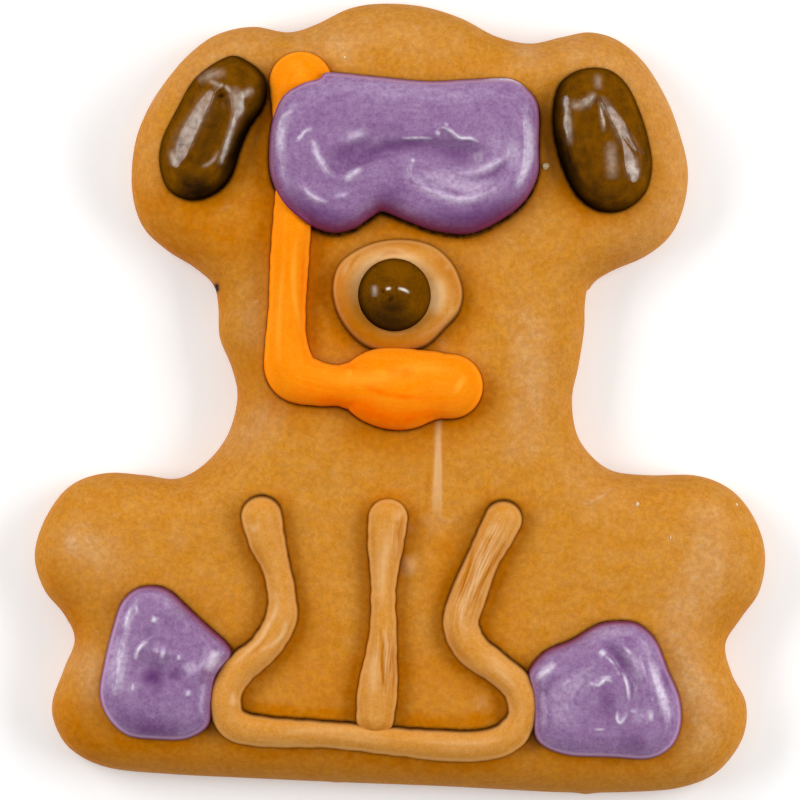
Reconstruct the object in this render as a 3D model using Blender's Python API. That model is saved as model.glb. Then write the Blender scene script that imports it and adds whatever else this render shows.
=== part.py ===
"""Iced dog biscuit in the shape of a sitting puppy that wears a dive mask, a snorkel and flippers.

The biscuit lies on its flat back at z = 0 with the iced face up and the head towards +Y.
Every size and place in the lists below is in millimetres from the middle of the biscuit.
"""
import math

import bmesh
import bpy
import numpy as np
from mathutils.geometry import delaunay_2d_cdt

MM = 0.001

# Gap that each icing piece keeps to whatever carries it
GAP = 0.3

# Biscuit: a widest line low on the side, a round shoulder above it and a gentle crown
SIDE_LINE = 1.8
SHOULDER_WIDTH = 3.5
SHOULDER_RISE = 5.2
CROWN_WIDTH = 12.0
CROWN_RISE = 1.7
BACK_INSET = 1.3
BACK_EDGE = 0.55
BACK_EDGE_INSET = 0.3

# Icing heights above the biscuit
SNORKEL_RISE = 2.7
SNORKEL_RISE_UNDER_MASK = 1.5
MOUTHPIECE_RISE = 0.8
PIPING_RISE = 2.1
PIPING_HALF_WIDTH = 2.0
PIPING_RISE_PER_WIDTH = 0.35
# Icing is widest at this share of its height, and tucks in by this much below it
FOOT_SHARE = 0.22
FOOT_TUCK = 0.3
# Shoulder width and rise, then crown width and rise
EAR_SECTION = (2.6, 2.5, 5.5, 0.7)
MASK_SECTION = (3.0, 2.9, 6.5, 0.7)
MUZZLE_SECTION = (2.4, 2.0, 3.0, 0.2)
NOSE_SECTION = (2.9, 1.9, 4.5, 0.45)
FLIPPER_SECTION = (2.7, 2.4, 6.5, 0.8)
# How far icing that crosses a stroke bridges away from its flanks, in half widths of the stroke
BRIDGE_START = 0.6
BRIDGE_END = 1.6
# Least share of its own height that icing keeps where it crosses a stroke
THIN_SHARE = 0.45

# Spacing of mesh points
CURVE_SHARES = np.linspace(0.0, 1.0, 12, endpoint=False)
FINE_STEP = 0.4
EDGE_STEP = 0.6
BISCUIT_STEP = 1.9
BISCUIT_GRID = 2.7
SHOULDER_RINGS = (0.3, 1.1, 2.2, 3.5)
STROKE_LINES = (0.45, 0.78, 0.94)
STROKE_STEP = 1.25
STROKE_UNDER_STEP = 2.5
BLOB_RINGS = (0.06, 0.3, 0.68)
LEAST_RING_SHARE = 0.93
BLOB_STEP = 1.15
BLOB_UNDER_STEP = 3.5
BRIDGE_UNDER_STEP = 1.4
NOSE_STEP = 1.0
NOSE_UNDER_STEP = 1.6

BISCUIT_OUTLINE = [
    (-2.0, 49.7), (3.0, 49.3), (7.8, 47.8), (12.0, 45.6), (16.3, 44.7), (20.3, 45.5), (23.8, 46.1),
    (27.3, 45.1), (30.6, 42.3), (33.4, 37.8), (35.1, 33.3), (36.1, 28.8), (35.6, 24.3), (33.9, 20.6),
    (30.8, 18.0), (26.5, 16.1), (23.8, 14.3), (23.2, 12.0), (23.1, 8.8), (22.4, 4.3), (21.6, 0.3),
    (22.1, -4.0), (24.0, -7.0), (26.8, -8.9), (31.3, -9.4), (36.8, -9.4), (40.5, -10.6), (43.1, -12.8),
    (45.1, -16.3), (45.8, -20.0), (45.0, -24.1), (42.8, -27.3), (40.8, -30.6), (41.6, -34.3),
    (43.4, -38.1), (42.9, -42.5), (39.8, -46.6), (35.5, -48.5), (30.0, -49.1), (21.0, -49.2),
    (12.5, -48.8), (5.0, -48.4), (-8.0, -47.9), (-18.8, -47.4), (-28.8, -46.9), (-36.5, -46.1),
    (-41.0, -44.0), (-43.1, -41.1), (-43.6, -37.9), (-42.1, -33.6), (-40.8, -30.0), (-42.1, -26.9),
    (-44.6, -23.8), (-45.8, -19.8), (-45.0, -16.0), (-42.9, -12.3), (-40.3, -10.1), (-36.5, -9.1),
    (-32.0, -9.4), (-27.8, -9.8), (-24.3, -7.8), (-21.6, -4.3), (-20.4, 0.3), (-21.1, 4.0),
    (-22.6, 7.8), (-22.8, 11.8), (-23.4, 14.4), (-25.8, 16.6), (-29.3, 18.8), (-32.3, 21.8),
    (-33.6, 26.3), (-33.3, 31.8), (-31.8, 36.1), (-29.5, 39.8), (-26.5, 43.3), (-23.0, 45.8),
    (-18.5, 46.8), (-14.0, 46.1), (-10.5, 47.1), (-6.3, 49.1),
]
# Drips of coating at the foot of the lower edge: place along X, half width, reach
FOOT_DRIPS = [(23.3, 1.5, 0.65), (-8.0, 0.9, 0.35)]
# Broad swells and hollows of the baked dough: x, y, radius, height
DOUGH_SWELLS = [
    (-35.0, -19.0, 8.0, 0.35), (36.0, -19.0, 8.0, 0.35), (0.0, -8.0, 11.0, -0.25),
    (8.8, -16.3, 3.2, -0.25), (-26.0, 33.0, 7.0, 0.2), (17.0, 5.0, 7.0, 0.25), (20.0, -33.0, 9.0, -0.2),
    (-18.0, 10.0, 6.0, -0.2),
]

EAR_LEFT = [
    (-21.5, 42.9), (-19.0, 42.3), (-17.1, 40.6), (-16.6, 38.8), (-17.1, 36.5), (-18.8, 33.9),
    (-19.9, 31.3), (-21.0, 28.0), (-23.0, 25.8), (-26.0, 24.9), (-28.8, 26.1), (-30.0, 29.0),
    (-29.8, 32.3), (-28.1, 36.5), (-25.6, 40.4),
]
EAR_RIGHT = [
    (24.0, 41.8), (26.5, 41.4), (28.5, 39.5), (30.0, 36.0), (31.1, 32.3), (31.5, 29.0), (30.6, 25.8),
    (28.0, 23.7), (24.8, 23.6), (22.0, 25.6), (20.1, 29.5), (19.1, 34.5), (19.5, 38.8), (21.4, 41.1),
]
MASK = [
    (-8.8, 40.9), (-3.1, 40.4), (3.5, 39.8), (10.0, 40.1), (13.8, 40.1), (16.1, 38.6), (17.3, 36.3),
    (17.7, 31.5), (17.4, 28.0), (15.6, 24.9), (12.8, 22.6), (8.8, 20.8), (4.5, 21.1), (1.0, 22.6),
    (-2.0, 23.8), (-3.5, 22.9), (-5.8, 21.4), (-8.5, 20.9), (-11.3, 22.0), (-14.0, 24.6), (-15.9, 27.9),
    (-16.3, 31.8), (-15.8, 35.3), (-14.5, 38.0), (-12.1, 39.5), (-10.1, 40.1),
]
MUZZLE = [
    (-0.1, 20.1), (3.8, 19.4), (6.5, 17.1), (7.8, 13.9), (7.4, 11.1), (5.5, 8.8), (3.0, 7.2),
    (-0.6, 6.9), (-3.8, 7.1), (-6.3, 8.4), (-8.0, 11.3), (-8.4, 14.5), (-7.3, 17.3), (-4.0, 19.4),
]
NOSE_CENTRE = (-0.7, 13.1)
NOSE_RADIUS = 4.55
NOSE_POINTS = 12
FLIPPER_LEFT = [
    (-30.9, -23.2), (-28.8, -23.8), (-26.5, -25.9), (-23.8, -28.4), (-21.9, -30.6), (-22.3, -32.0),
    (-24.0, -34.3), (-24.5, -37.5), (-24.3, -41.0), (-26.6, -42.3), (-30.3, -42.4), (-34.0, -41.9),
    (-36.4, -39.8), (-37.5, -36.8), (-37.0, -33.0), (-35.9, -28.5), (-34.8, -25.3), (-33.0, -23.6),
]
FLIPPER_RIGHT = [
    (27.8, -27.6), (30.0, -28.1), (32.0, -30.1), (33.4, -33.5), (34.9, -37.1), (35.1, -40.5),
    (33.9, -43.3), (31.0, -44.8), (26.3, -44.6), (21.3, -44.4), (18.4, -43.3), (17.4, -41.5),
    (17.8, -39.0), (17.7, -36.5), (16.9, -33.9), (18.1, -31.4), (21.5, -29.9), (24.8, -28.0),
]

# Edges of the mask between which it lies on the snorkel, and how fast the snorkel sinks under them
MASK_LOW_EDGE = 20.0
MASK_HIGH_EDGE = 42.5
SINK_LOW = 3.5
SINK_HIGH = 4.5

# Strokes piped in one go: x, y and half width along the middle of each
SNORKEL = [
    (-12.4, 39.6, 3.9), (-12.8, 35.0, 3.0), (-12.9, 28.8, 2.5), (-13.4, 23.1, 2.4), (-13.8, 17.3, 2.4),
    (-14.1, 11.3, 2.4), (-14.2, 6.9, 2.6), (-13.1, 3.6, 3.0), (-10.4, 2.0, 3.0), (-7.5, 1.5, 3.05),
    (-4.8, 1.1, 4.0), (-2.0, 1.0, 5.1), (0.6, 1.1, 5.3), (3.5, 1.6, 4.65), (6.3, 1.7, 4.25),
]
TUBE_HALF_WIDTH = 2.6
MOUTHPIECE_HALF_WIDTH = 5.0
LEG_PIPING = [
    (-17.3, -14.5, 2.55), (-16.6, -17.6, 2.3), (-15.5, -20.8, 1.8), (-14.8, -24.1, 1.8),
    (-14.9, -27.5, 2.0), (-17.0, -31.0, 1.95), (-20.3, -33.9, 2.05), (-21.8, -37.1, 2.0),
    (-20.9, -40.3, 2.05), (-17.0, -41.4, 1.95), (-8.8, -41.8, 1.7), (-0.9, -42.6, 1.8),
    (4.4, -43.1, 1.95), (9.6, -43.2, 1.95), (13.3, -42.2, 2.0), (15.3, -39.4, 1.85),
    (14.7, -35.9, 2.0), (12.0, -33.4, 2.0), (9.0, -31.1, 2.2), (7.6, -28.0, 2.25), (8.4, -24.8, 2.3),
    (10.3, -20.0, 2.1), (11.9, -16.9, 2.3), (12.9, -14.9, 2.4),
]
LEG_DIVIDER = [
    (-1.5, -14.8, 2.45), (-1.8, -18.1, 2.25), (-2.0, -21.9, 1.7), (-2.1, -25.0, 1.55),
    (-2.1, -28.8, 1.7), (-2.4, -32.5, 2.05), (-2.8, -36.3, 2.5), (-3.1, -39.0, 2.3),
]

# Ridges and grooves that the icing bag left: points along each, half width, height
EAR_LEFT_FOLDS = [
    ([(-22.9, 39.5), (-25.2, 35.0), (-27.8, 29.6)], 1.3, 0.55),
    ([(-20.0, 38.6), (-20.8, 34.5), (-22.6, 29.6)], 1.1, 0.45),
    ([(-22.2, 38.2), (-22.9, 34.1), (-23.6, 31.5)], 1.0, -0.7),
]
EAR_RIGHT_FOLDS = [
    ([(24.7, 38.8), (27.2, 34.0), (29.2, 28.6)], 1.4, 0.6),
    ([(24.0, 38.6), (21.8, 36.6), (20.9, 32.8)], 1.1, 0.5),
    ([(24.3, 37.8), (24.4, 33.5), (24.6, 30.5)], 1.2, -0.6),
    ([(24.5, 39.3), (24.6, 38.9)], 0.9, 0.6),
]
MASK_FOLDS = [
    ([(-8.3, 29.8), (-7.6, 28.9), (-3.4, 30.6), (1.5, 31.6), (5.5, 31.2), (8.9, 30.0)], 1.9, -1.5),
    ([(5.5, 31.2), (8.9, 30.2)], 1.6, -0.5),
    ([(1.3, 29.8), (1.9, 27.6), (5.0, 25.4), (8.6, 25.0), (12.0, 26.3), (14.2, 29.6)], 1.0, 0.4),
    ([(3.0, 28.9), (7.5, 27.9), (11.5, 28.8)], 0.9, 0.25),
]
MUZZLE_FOLDS = [([NOSE_CENTRE, (NOSE_CENTRE[0] + 0.1, NOSE_CENTRE[1])], 4.2, -0.35)]
FLIPPER_LEFT_FOLDS = [
    ([(-31.6, -32.4), (-31.2, -32.9)], 2.4, -0.9),
    ([(-33.4, -32.6), (-32.4, -29.8), (-29.9, -29.4), (-28.0, -31.8)], 1.1, 0.35),
]
FLIPPER_RIGHT_FOLDS = [
    ([(24.6, -30.9), (27.2, -32.2), (28.4, -35.6), (27.4, -39.8)], 1.2, -0.8),
    ([(31.0, -32.2), (32.6, -36.4), (33.2, -40.2)], 1.2, 0.35),
]


def curve_between(before, start, end, after, share):
    """A point on the Catmull-Rom curve from start to end."""
    return 0.5 * (2 * start + (end - before) * share
                  + (2 * before - 5 * start + 4 * end - after) * share ** 2
                  + (3 * start - before - 3 * end + after) * share ** 3)


def even_steps(curve, step, closed):
    """The same curve with points an even step apart."""
    if closed:
        curve = np.vstack([curve, curve[:1]])
    lengths = np.linalg.norm(np.diff(curve[:, :2], axis=0), axis=1)
    travelled = np.concatenate([[0.0], np.cumsum(lengths)])
    count = max(2, round(travelled[-1] / step))
    marks = np.linspace(0.0, travelled[-1], count + 1)
    if closed:
        marks = marks[:-1]
    return np.stack([np.interp(marks, travelled, column) for column in curve.T], axis=1)


def smooth_loop(points, step):
    """A closed curve through the points."""
    points = np.array(points, dtype=float)
    count = len(points)
    curve = [
        curve_between(points[i - 1], points[i], points[(i + 1) % count], points[(i + 2) % count], share)
        for i in range(count)
        for share in CURVE_SHARES
    ]
    return even_steps(np.array(curve), step, closed=True)


def smooth_path(points, step):
    """An open curve through the points."""
    points = np.array(points, dtype=float)
    points = np.vstack([2 * points[0] - points[1], points, 2 * points[-1] - points[-2]])
    curve = [
        curve_between(*points[i - 1:i + 3], share)
        for i in range(1, len(points) - 2)
        for share in CURVE_SHARES
    ]
    return even_steps(np.array(curve + [points[-2]]), step, closed=False)


def distance_to_line(places, line, closed):
    """Distance in plan from each place to a line of short straight pieces."""
    ends = np.roll(line, -1, axis=0) if closed else line[1:]
    starts = line if closed else line[:-1]
    sides = ends - starts
    offsets = places[:, None, :] - starts[None, :, :]
    share = np.clip((offsets * sides).sum(axis=2) / (sides ** 2).sum(axis=1), 0.0, 1.0)
    misses = offsets - share[:, :, None] * sides
    return np.sqrt((misses ** 2).sum(axis=2).min(axis=1))


def is_inside(places, loop):
    """Which places lie inside the loop, by counting the sides that a ray towards +X crosses."""
    starts = loop
    ends = np.roll(loop, -1, axis=0)
    x = places[:, 0][:, None]
    y = places[:, 1][:, None]
    spans = (starts[:, 1] > y) != (ends[:, 1] > y)
    rise = np.where(ends[:, 1] == starts[:, 1], 1.0, ends[:, 1] - starts[:, 1])
    crossing = starts[:, 0] + (y - starts[:, 1]) / rise * (ends[:, 0] - starts[:, 0])
    return (spans & (x < crossing)).sum(axis=1) % 2 == 1


def inward(loop):
    """Unit directions from a clockwise loop towards its inside."""
    along = np.roll(loop, -1, axis=0) - np.roll(loop, 1, axis=0)
    along /= np.linalg.norm(along, axis=1)[:, None]
    return np.stack([along[:, 1], -along[:, 0]], axis=1)


def grid_inside(loop, step, margin):
    """Staggered grid places inside the loop, at least the margin away from it."""
    low = loop.min(axis=0)
    high = loop.max(axis=0)
    row_step = step * math.sqrt(3) / 2
    rows = np.arange(low[1] + row_step / 2, high[1], row_step)
    places = np.array([
        (x, y)
        for row, y in enumerate(rows)
        for x in np.arange(low[0] + (row % 2) * step / 2, high[0], step)
    ])
    places = places[is_inside(places, loop)]
    return places[distance_to_line(places, loop, closed=True) > margin]


def rings_inside(loop, offsets):
    """Places at the given distances inside the loop, left out where they would crowd together."""
    rings = []
    for offset in offsets:
        places = loop + inward(loop) * offset
        clear = distance_to_line(places, loop, closed=True) > LEAST_RING_SHARE * offset
        rings.append(places[clear & is_inside(places, loop)])
    return np.vstack(rings)


def spread_out(places, least):
    """Leaves out each place that is closer than the least distance to one kept before it."""
    kept = []
    for place in places:
        if all(abs(place[0] - x) + abs(place[1] - y) > least for x, y in kept):
            kept.append(tuple(place))
    return np.array(kept)


def rounded(distance, width):
    """Quarter round from 0 at the edge to 1 at the width."""
    share = 1.0 - np.clip(distance / width, 0.0, 1.0)
    return np.sqrt(1.0 - share ** 2)


def eased(distance, width):
    """Gentle slope from 0 at the edge to 1 at the width."""
    return 1.0 - (1.0 - np.clip(distance / width, 0.0, 1.0)) ** 2


def circle(centre, radius, count):
    """Points of a circle, clockwise."""
    turns = np.linspace(0.0, -2 * math.pi, count, endpoint=False)
    return [(centre[0] + radius * math.cos(turn), centre[1] + radius * math.sin(turn)) for turn in turns]


def folds_height(places, folds):
    """Sum of ridges and grooves with a bell-shaped section."""
    height = np.zeros(len(places))
    for points, width, depth in folds:
        line = smooth_path(points, FINE_STEP)
        height += depth * np.exp(-(distance_to_line(places, line, closed=False) / width) ** 2)
    return height


BISCUIT_LOOP = smooth_loop(BISCUIT_OUTLINE, EDGE_STEP)


def biscuit_top(places):
    """Height of the biscuit's upper surface."""
    distance = distance_to_line(places, BISCUIT_LOOP, closed=True)
    height = SIDE_LINE + SHOULDER_RISE * rounded(distance, SHOULDER_WIDTH)
    height += CROWN_RISE * eased(distance, CROWN_WIDTH)
    calm_edge = eased(distance, SHOULDER_WIDTH)
    for x, y, radius, rise in DOUGH_SWELLS:
        reach = ((places[:, 0] - x) ** 2 + (places[:, 1] - y) ** 2) / radius ** 2
        height += rise * calm_edge * np.exp(-reach)
    return height


class Stroke:
    """Icing piped in one go: a middle line with half widths, and a height along it."""

    def __init__(self, stations, rise):
        self.path = smooth_path(stations, FINE_STEP)
        self.rise = rise

    def reach(self, places):
        """Distance from the middle as a share of the half width, and the nearest station."""
        ways = np.linalg.norm(places[:, None, :] - self.path[None, :, :2], axis=2)
        shares = ways / self.path[:, 2]
        nearest = shares.argmin(axis=1)
        return shares[np.arange(len(places)), nearest], nearest

    def height(self, places):
        """Height above the surface that carries the stroke."""
        share, nearest = self.reach(places)
        round_section = np.sqrt(np.clip(1 - share ** 2, 0.0, 1.0))
        return self.rise(self.path[nearest]) * (FOOT_SHARE + (1 - FOOT_SHARE) * round_section)

    def bridge(self, places):
        """How high icing that crosses the stroke stays above the biscuit."""
        share, nearest = self.reach(places)
        across = np.clip((share - BRIDGE_START) / (BRIDGE_END - BRIDGE_START), 0.0, 1.0)
        return (self.rise(self.path[nearest]) + GAP) * (1 - across ** 2 * (3 - 2 * across))

    def layout(self, step):
        """Edge loop, and inner places in lines along the stroke."""
        path = even_steps(self.path, step, closed=False)
        middle = path[:, :2]
        width = path[:, 2:]
        along = np.gradient(middle, axis=0)
        along /= np.linalg.norm(along, axis=1)[:, None]
        across = np.stack([-along[:, 1], along[:, 0]], axis=1) * width
        end = self.cap(middle[-1], along[-1] * width[-1], across[-1], step)
        start = self.cap(middle[0], -along[0] * width[0], -across[0], step)
        loop = self.snap(np.vstack([middle + across, end, (middle - across)[::-1], start]))
        inner = [middle]
        for share in STROKE_LINES:
            inner += [middle + across * share, middle - across * share]
            inner += [middle[-1] + (end - middle[-1]) * share, middle[0] + (start - middle[0]) * share]
        inner = np.vstack(inner)
        clear = distance_to_line(inner, loop, closed=True) > 0.1 * step
        return loop, spread_out(inner[clear & is_inside(inner, loop)], 0.3 * step)

    def cap(self, middle, ahead, across, step):
        """Round end of the stroke, without the two points where it meets the sides."""
        count = max(4, round(math.pi * np.linalg.norm(across) / step))
        turns = np.linspace(0.0, math.pi, count + 1)[1:-1]
        return np.array([middle + math.cos(turn) * across + math.sin(turn) * ahead for turn in turns])

    def snap(self, loop):
        """Moves the loop onto the true edge of the stroke."""
        for _ in range(3):
            share, nearest = self.reach(loop)
            middles = self.path[nearest, :2]
            loop = middles + (loop - middles) / share[:, None]
        return loop

    def underside(self, loop, step):
        """Inner places of the underside, along the middle."""
        return even_steps(self.path, step, closed=False)[1:-1, :2]


class Blob:
    """A flooded patch of icing with a round shoulder, a crown and folds."""

    def __init__(self, outline, section, folds=()):
        self.outline = outline
        self.edge = smooth_loop(outline, FINE_STEP)
        self.shoulder_width, self.shoulder_rise, self.crown_width, self.crown_rise = section
        self.folds = folds

    def height(self, places):
        """Height above the surface that carries the patch."""
        distance = distance_to_line(places, self.edge, closed=True)
        shoulder = FOOT_SHARE + (1 - FOOT_SHARE) * rounded(distance, self.shoulder_width)
        height = self.shoulder_rise * shoulder + self.crown_rise * eased(distance, self.crown_width)
        return height + folds_height(places, self.folds) * eased(distance, self.shoulder_width)

    def layout(self, step):
        """Edge loop, and inner places in rings near it and in a grid beyond them."""
        loop = smooth_loop(self.outline, step)
        offsets = [share * self.shoulder_width for share in BLOB_RINGS]
        grid = grid_inside(loop, 1.15 * step, offsets[-1] + 0.5 * step)
        return loop, np.vstack([rings_inside(loop, offsets), grid])

    def underside(self, loop, step):
        """Inner places of the underside, in a grid."""
        return grid_inside(loop, step, FOOT_TUCK + 0.4 * step)


def snorkel_rise(stations):
    """The snorkel is lower where the mask lies on it, and a little higher at the mouthpiece."""
    y = stations[:, 1]
    sunk = np.clip((y - MASK_LOW_EDGE) / SINK_LOW, 0.0, 1.0)
    sunk *= np.clip((MASK_HIGH_EDGE - y) / SINK_HIGH, 0.0, 1.0)
    wide = (stations[:, 2] - TUBE_HALF_WIDTH) / (MOUTHPIECE_HALF_WIDTH - TUBE_HALF_WIDTH)
    wide = np.clip(wide, 0.0, 1.0) * (y < MASK_LOW_EDGE)
    return SNORKEL_RISE + MOUTHPIECE_RISE * wide - (SNORKEL_RISE - SNORKEL_RISE_UNDER_MASK) * sunk


def piping_rise(stations):
    """Wider places of the piping are a little higher."""
    return PIPING_RISE + PIPING_RISE_PER_WIDTH * (stations[:, 2] - PIPING_HALF_WIDTH)


SNORKEL_STROKE = Stroke(SNORKEL, snorkel_rise)
LEG_STROKE = Stroke(LEG_PIPING, piping_rise)
MUZZLE_BLOB = Blob(MUZZLE, MUZZLE_SECTION, MUZZLE_FOLDS)


def muzzle_top(places):
    """Height of the muzzle's upper surface."""
    return biscuit_top(places) + GAP + MUZZLE_BLOB.height(places)


def triangles_inside(loop, inner):
    """Triangles over the loop and its inner places."""
    places = [tuple(place) for place in np.vstack([loop, inner])]
    found = delaunay_2d_cdt(places, [], [list(range(len(loop)))], 1, 1e-7)
    if len(found[0]) != len(places):
        raise ValueError("two outline points coincide or its sides cross")
    return [tuple(face) for face in found[2]]


def closed_solid(name, rings, top_inner, top_heights, under_inner, under_heights, finish):
    """A solid of one top sheet, side bands from ring to ring and one under sheet.

    rings holds (loop, heights) from the top sheet's edge down to the under sheet's edge.
    """
    mesh = bmesh.new()

    def add(places, heights):
        return [mesh.verts.new((x * MM, y * MM, z * MM)) for (x, y), z in zip(places, heights)]

    bands = [add(loop, heights) for loop, heights in rings]
    top = bands[0] + add(top_inner, top_heights)
    under = bands[-1] + add(under_inner, under_heights)
    for face in triangles_inside(rings[0][0], top_inner):
        mesh.faces.new([top[i] for i in face])
    for face in triangles_inside(rings[-1][0], under_inner):
        mesh.faces.new([under[i] for i in reversed(face)])
    for upper, lower in zip(bands, bands[1:]):
        for i in range(len(upper)):
            after = (i + 1) % len(upper)
            mesh.faces.new((upper[i], upper[after], lower[after], lower[i]))
    bmesh.ops.recalc_face_normals(mesh, faces=mesh.faces)
    data = bpy.data.meshes.new(name)
    mesh.to_mesh(data)
    mesh.free()
    data.materials.append(finish)
    data.shade_smooth()
    bpy.context.scene.collection.objects.link(bpy.data.objects.new(name, data))


def biscuit(finish):
    """The baked and coated dough, flat on its back."""
    loop = smooth_loop(BISCUIT_OUTLINE, BISCUIT_STEP)
    directions = inward(loop)
    reach = np.zeros(len(loop))
    for x, width, out in FOOT_DRIPS:
        faces_down = directions[:, 1] > 0.5
        reach += out * np.exp(-((loop[:, 0] - x) / width) ** 2) * faces_down
    side = loop - directions * reach[:, None]
    edge = loop + directions * (BACK_EDGE_INSET - reach)[:, None]
    back = loop + directions * BACK_INSET
    level = np.ones(len(loop))
    rings = [(side, SIDE_LINE * level), (edge, BACK_EDGE * level), (back, 0.0 * level)]
    grid = grid_inside(BISCUIT_LOOP, BISCUIT_GRID, SHOULDER_RINGS[-1] + 0.5 * BISCUIT_GRID)
    inner = np.vstack([rings_inside(loop, SHOULDER_RINGS), grid])
    closed_solid("biscuit", rings, inner, biscuit_top(inner), np.empty((0, 2)), [], finish)


def icing(name, shape, step, under_step, finish, crossed=None, carrier=biscuit_top):
    """A piece of icing on its carrier, which may cross a stroke, with its foot tucked in."""

    def under(places):
        bridge = crossed.bridge(places) if crossed else 0.0
        return carrier(places) + bridge + GAP

    def top(places):
        own = shape.height(places)
        return np.maximum(carrier(places) + GAP + own, under(places) + THIN_SHARE * own)

    loop, inner = shape.layout(step)
    foot = loop + inward(loop) * FOOT_TUCK
    rings = [(loop, top(loop)), (foot, under(foot))]
    under_inner = shape.underside(loop, under_step)
    closed_solid(name, rings, inner, top(inner), under_inner, under(under_inner), finish)


def finish(name, colour, roughness):
    """A plain glazed or matt surface of one colour."""
    material = bpy.data.materials.new(name)
    material.use_nodes = True
    shader = material.node_tree.nodes["Principled BSDF"]
    shader.inputs["Base Color"].default_value = (*colour, 1.0)
    shader.inputs["Roughness"].default_value = roughness
    shader.inputs["Metallic"].default_value = 0.0
    return material


def build():
    """Every piece of the biscuit."""
    for thing in list(bpy.data.objects):
        bpy.data.objects.remove(thing)
    coating = finish("coating", (0.61, 0.24, 0.03), 0.45)
    brown = finish("brown_icing", (0.11, 0.04, 0.005), 0.2)
    purple = finish("purple_icing", (0.30, 0.16, 0.31), 0.3)
    orange = finish("orange_icing", (0.97, 0.23, 0.006), 0.4)
    tan = finish("tan_icing", (0.72, 0.33, 0.08), 0.45)
    ear_left = Blob(EAR_LEFT, EAR_SECTION, EAR_LEFT_FOLDS)
    ear_right = Blob(EAR_RIGHT, EAR_SECTION, EAR_RIGHT_FOLDS)
    mask = Blob(MASK, MASK_SECTION, MASK_FOLDS)
    nose = Blob(circle(NOSE_CENTRE, NOSE_RADIUS, NOSE_POINTS), NOSE_SECTION)
    divider = Stroke(LEG_DIVIDER, piping_rise)
    flipper_left = Blob(FLIPPER_LEFT, FLIPPER_SECTION, FLIPPER_LEFT_FOLDS)
    flipper_right = Blob(FLIPPER_RIGHT, FLIPPER_SECTION, FLIPPER_RIGHT_FOLDS)
    biscuit(coating)
    icing("ear_left", ear_left, BLOB_STEP, BLOB_UNDER_STEP, brown)
    icing("ear_right", ear_right, BLOB_STEP, BLOB_UNDER_STEP, brown)
    icing("snorkel", SNORKEL_STROKE, STROKE_STEP, STROKE_UNDER_STEP, orange)
    icing("mask", mask, BLOB_STEP, BRIDGE_UNDER_STEP, purple, crossed=SNORKEL_STROKE)
    icing("muzzle", MUZZLE_BLOB, BLOB_STEP, BLOB_UNDER_STEP, tan)
    icing("nose", nose, NOSE_STEP, NOSE_UNDER_STEP, brown, carrier=muzzle_top)
    icing("leg_piping", LEG_STROKE, STROKE_STEP, STROKE_UNDER_STEP, tan)
    icing("leg_divider", divider, STROKE_STEP, STROKE_UNDER_STEP, tan, crossed=LEG_STROKE)
    icing("flipper_left", flipper_left, BLOB_STEP, BLOB_UNDER_STEP, purple)
    icing("flipper_right", flipper_right, BLOB_STEP, BLOB_UNDER_STEP, purple)


build()
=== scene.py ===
"""Finish of an iced dog biscuit in the shape of a sitting puppy with a dive mask, a snorkel and flippers.

The biscuit lies on its flat back with the iced face up and the head towards +Y.
Sizes and places in the lists below are in millimetres from its middle, as in its frame.
"""
import math

import bmesh
import bpy
import numpy as np
from mathutils.geometry import delaunay_2d_cdt
from mathutils.kdtree import KDTree
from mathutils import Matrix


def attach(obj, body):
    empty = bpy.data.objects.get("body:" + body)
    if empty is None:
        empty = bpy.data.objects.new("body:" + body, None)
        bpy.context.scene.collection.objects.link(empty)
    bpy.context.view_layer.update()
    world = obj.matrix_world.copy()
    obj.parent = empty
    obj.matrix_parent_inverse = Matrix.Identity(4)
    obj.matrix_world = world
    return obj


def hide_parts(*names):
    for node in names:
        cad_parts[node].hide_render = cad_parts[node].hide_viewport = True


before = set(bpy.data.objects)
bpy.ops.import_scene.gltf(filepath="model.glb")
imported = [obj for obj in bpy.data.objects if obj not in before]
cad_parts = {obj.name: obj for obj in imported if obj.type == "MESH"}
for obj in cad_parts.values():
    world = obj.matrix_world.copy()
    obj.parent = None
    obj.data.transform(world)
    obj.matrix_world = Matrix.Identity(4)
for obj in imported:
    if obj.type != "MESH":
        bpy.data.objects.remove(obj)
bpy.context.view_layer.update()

MM = 0.001

# Biscuit: a widest line low on the side, a round shoulder above it, a gentle crown and a round foot
SIDE_LINE = 1.8
SHOULDER_WIDTH = 5.5
SHOULDER_POWER = 2.6
SHOULDER_RISE = 5.2
CROWN_WIDTH = 12.0
CROWN_RISE = 1.7
FOOT_ROUND = 1.3
FOOT_BANDS = 7
# The mesh's outline lies this far inside the drawn one
OUTLINE_INSET = 0.02
# Dents of the back: mean depth, size, and the distance from the foot over which they deepen
BACK_DENT = 0.09
BACK_DENT_SIZE = 3.0
BACK_DENT_WIDTH = 4.0
# Random bumps of the dough, the coating and the flooded icing: height and size
DOUGH_BUMPS = (0.08, 4.0)
COATING_BUMPS = (0.012, 1.0)
FLOODED_BUMPS = (0.03, 2.2)
# How much the half width of a piped stroke wavers, and over which length
STROKE_WAVER = (0.045, 0.9)
# Width of the grooves along a stroke, how slowly they change along it, and their share where it isn't torn
GROOVE_WIDTH = 0.34
GROOVE_PACE = 0.12
GROOVE_SHARE = 0.3
# Crumbs: least and most stretch, flatness, unevenness, and how high each sits as a share of its radius
CRUMB_STRETCH = (0.6, 1.25)
CRUMB_FLATNESS = (1.0, 1.0, 0.7)
CRUMB_LUMPS = 0.16
CRUMB_SEAT = 0.35

# Icing: how far its widest line stands off the coating, the share of its height right at its edge, and how
# far its foot sinks in
LIFT = 0.25
FOOT_SHARE = 0.22
SINK = 0.15
# Rings from the widest line down: distance inwards, and height left as a share
FOOT_RINGS = ((0.05, 0.75), (0.14, 0.4), (0.3, 0.0))
# A stroke that runs into another one ends this far below its surface. Its foot line fades in from the start
# over the width, both in half widths of the other one.
MERGE = 0.12
MERGE_START = 0.9
MERGE_WIDTH = 0.3
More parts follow.
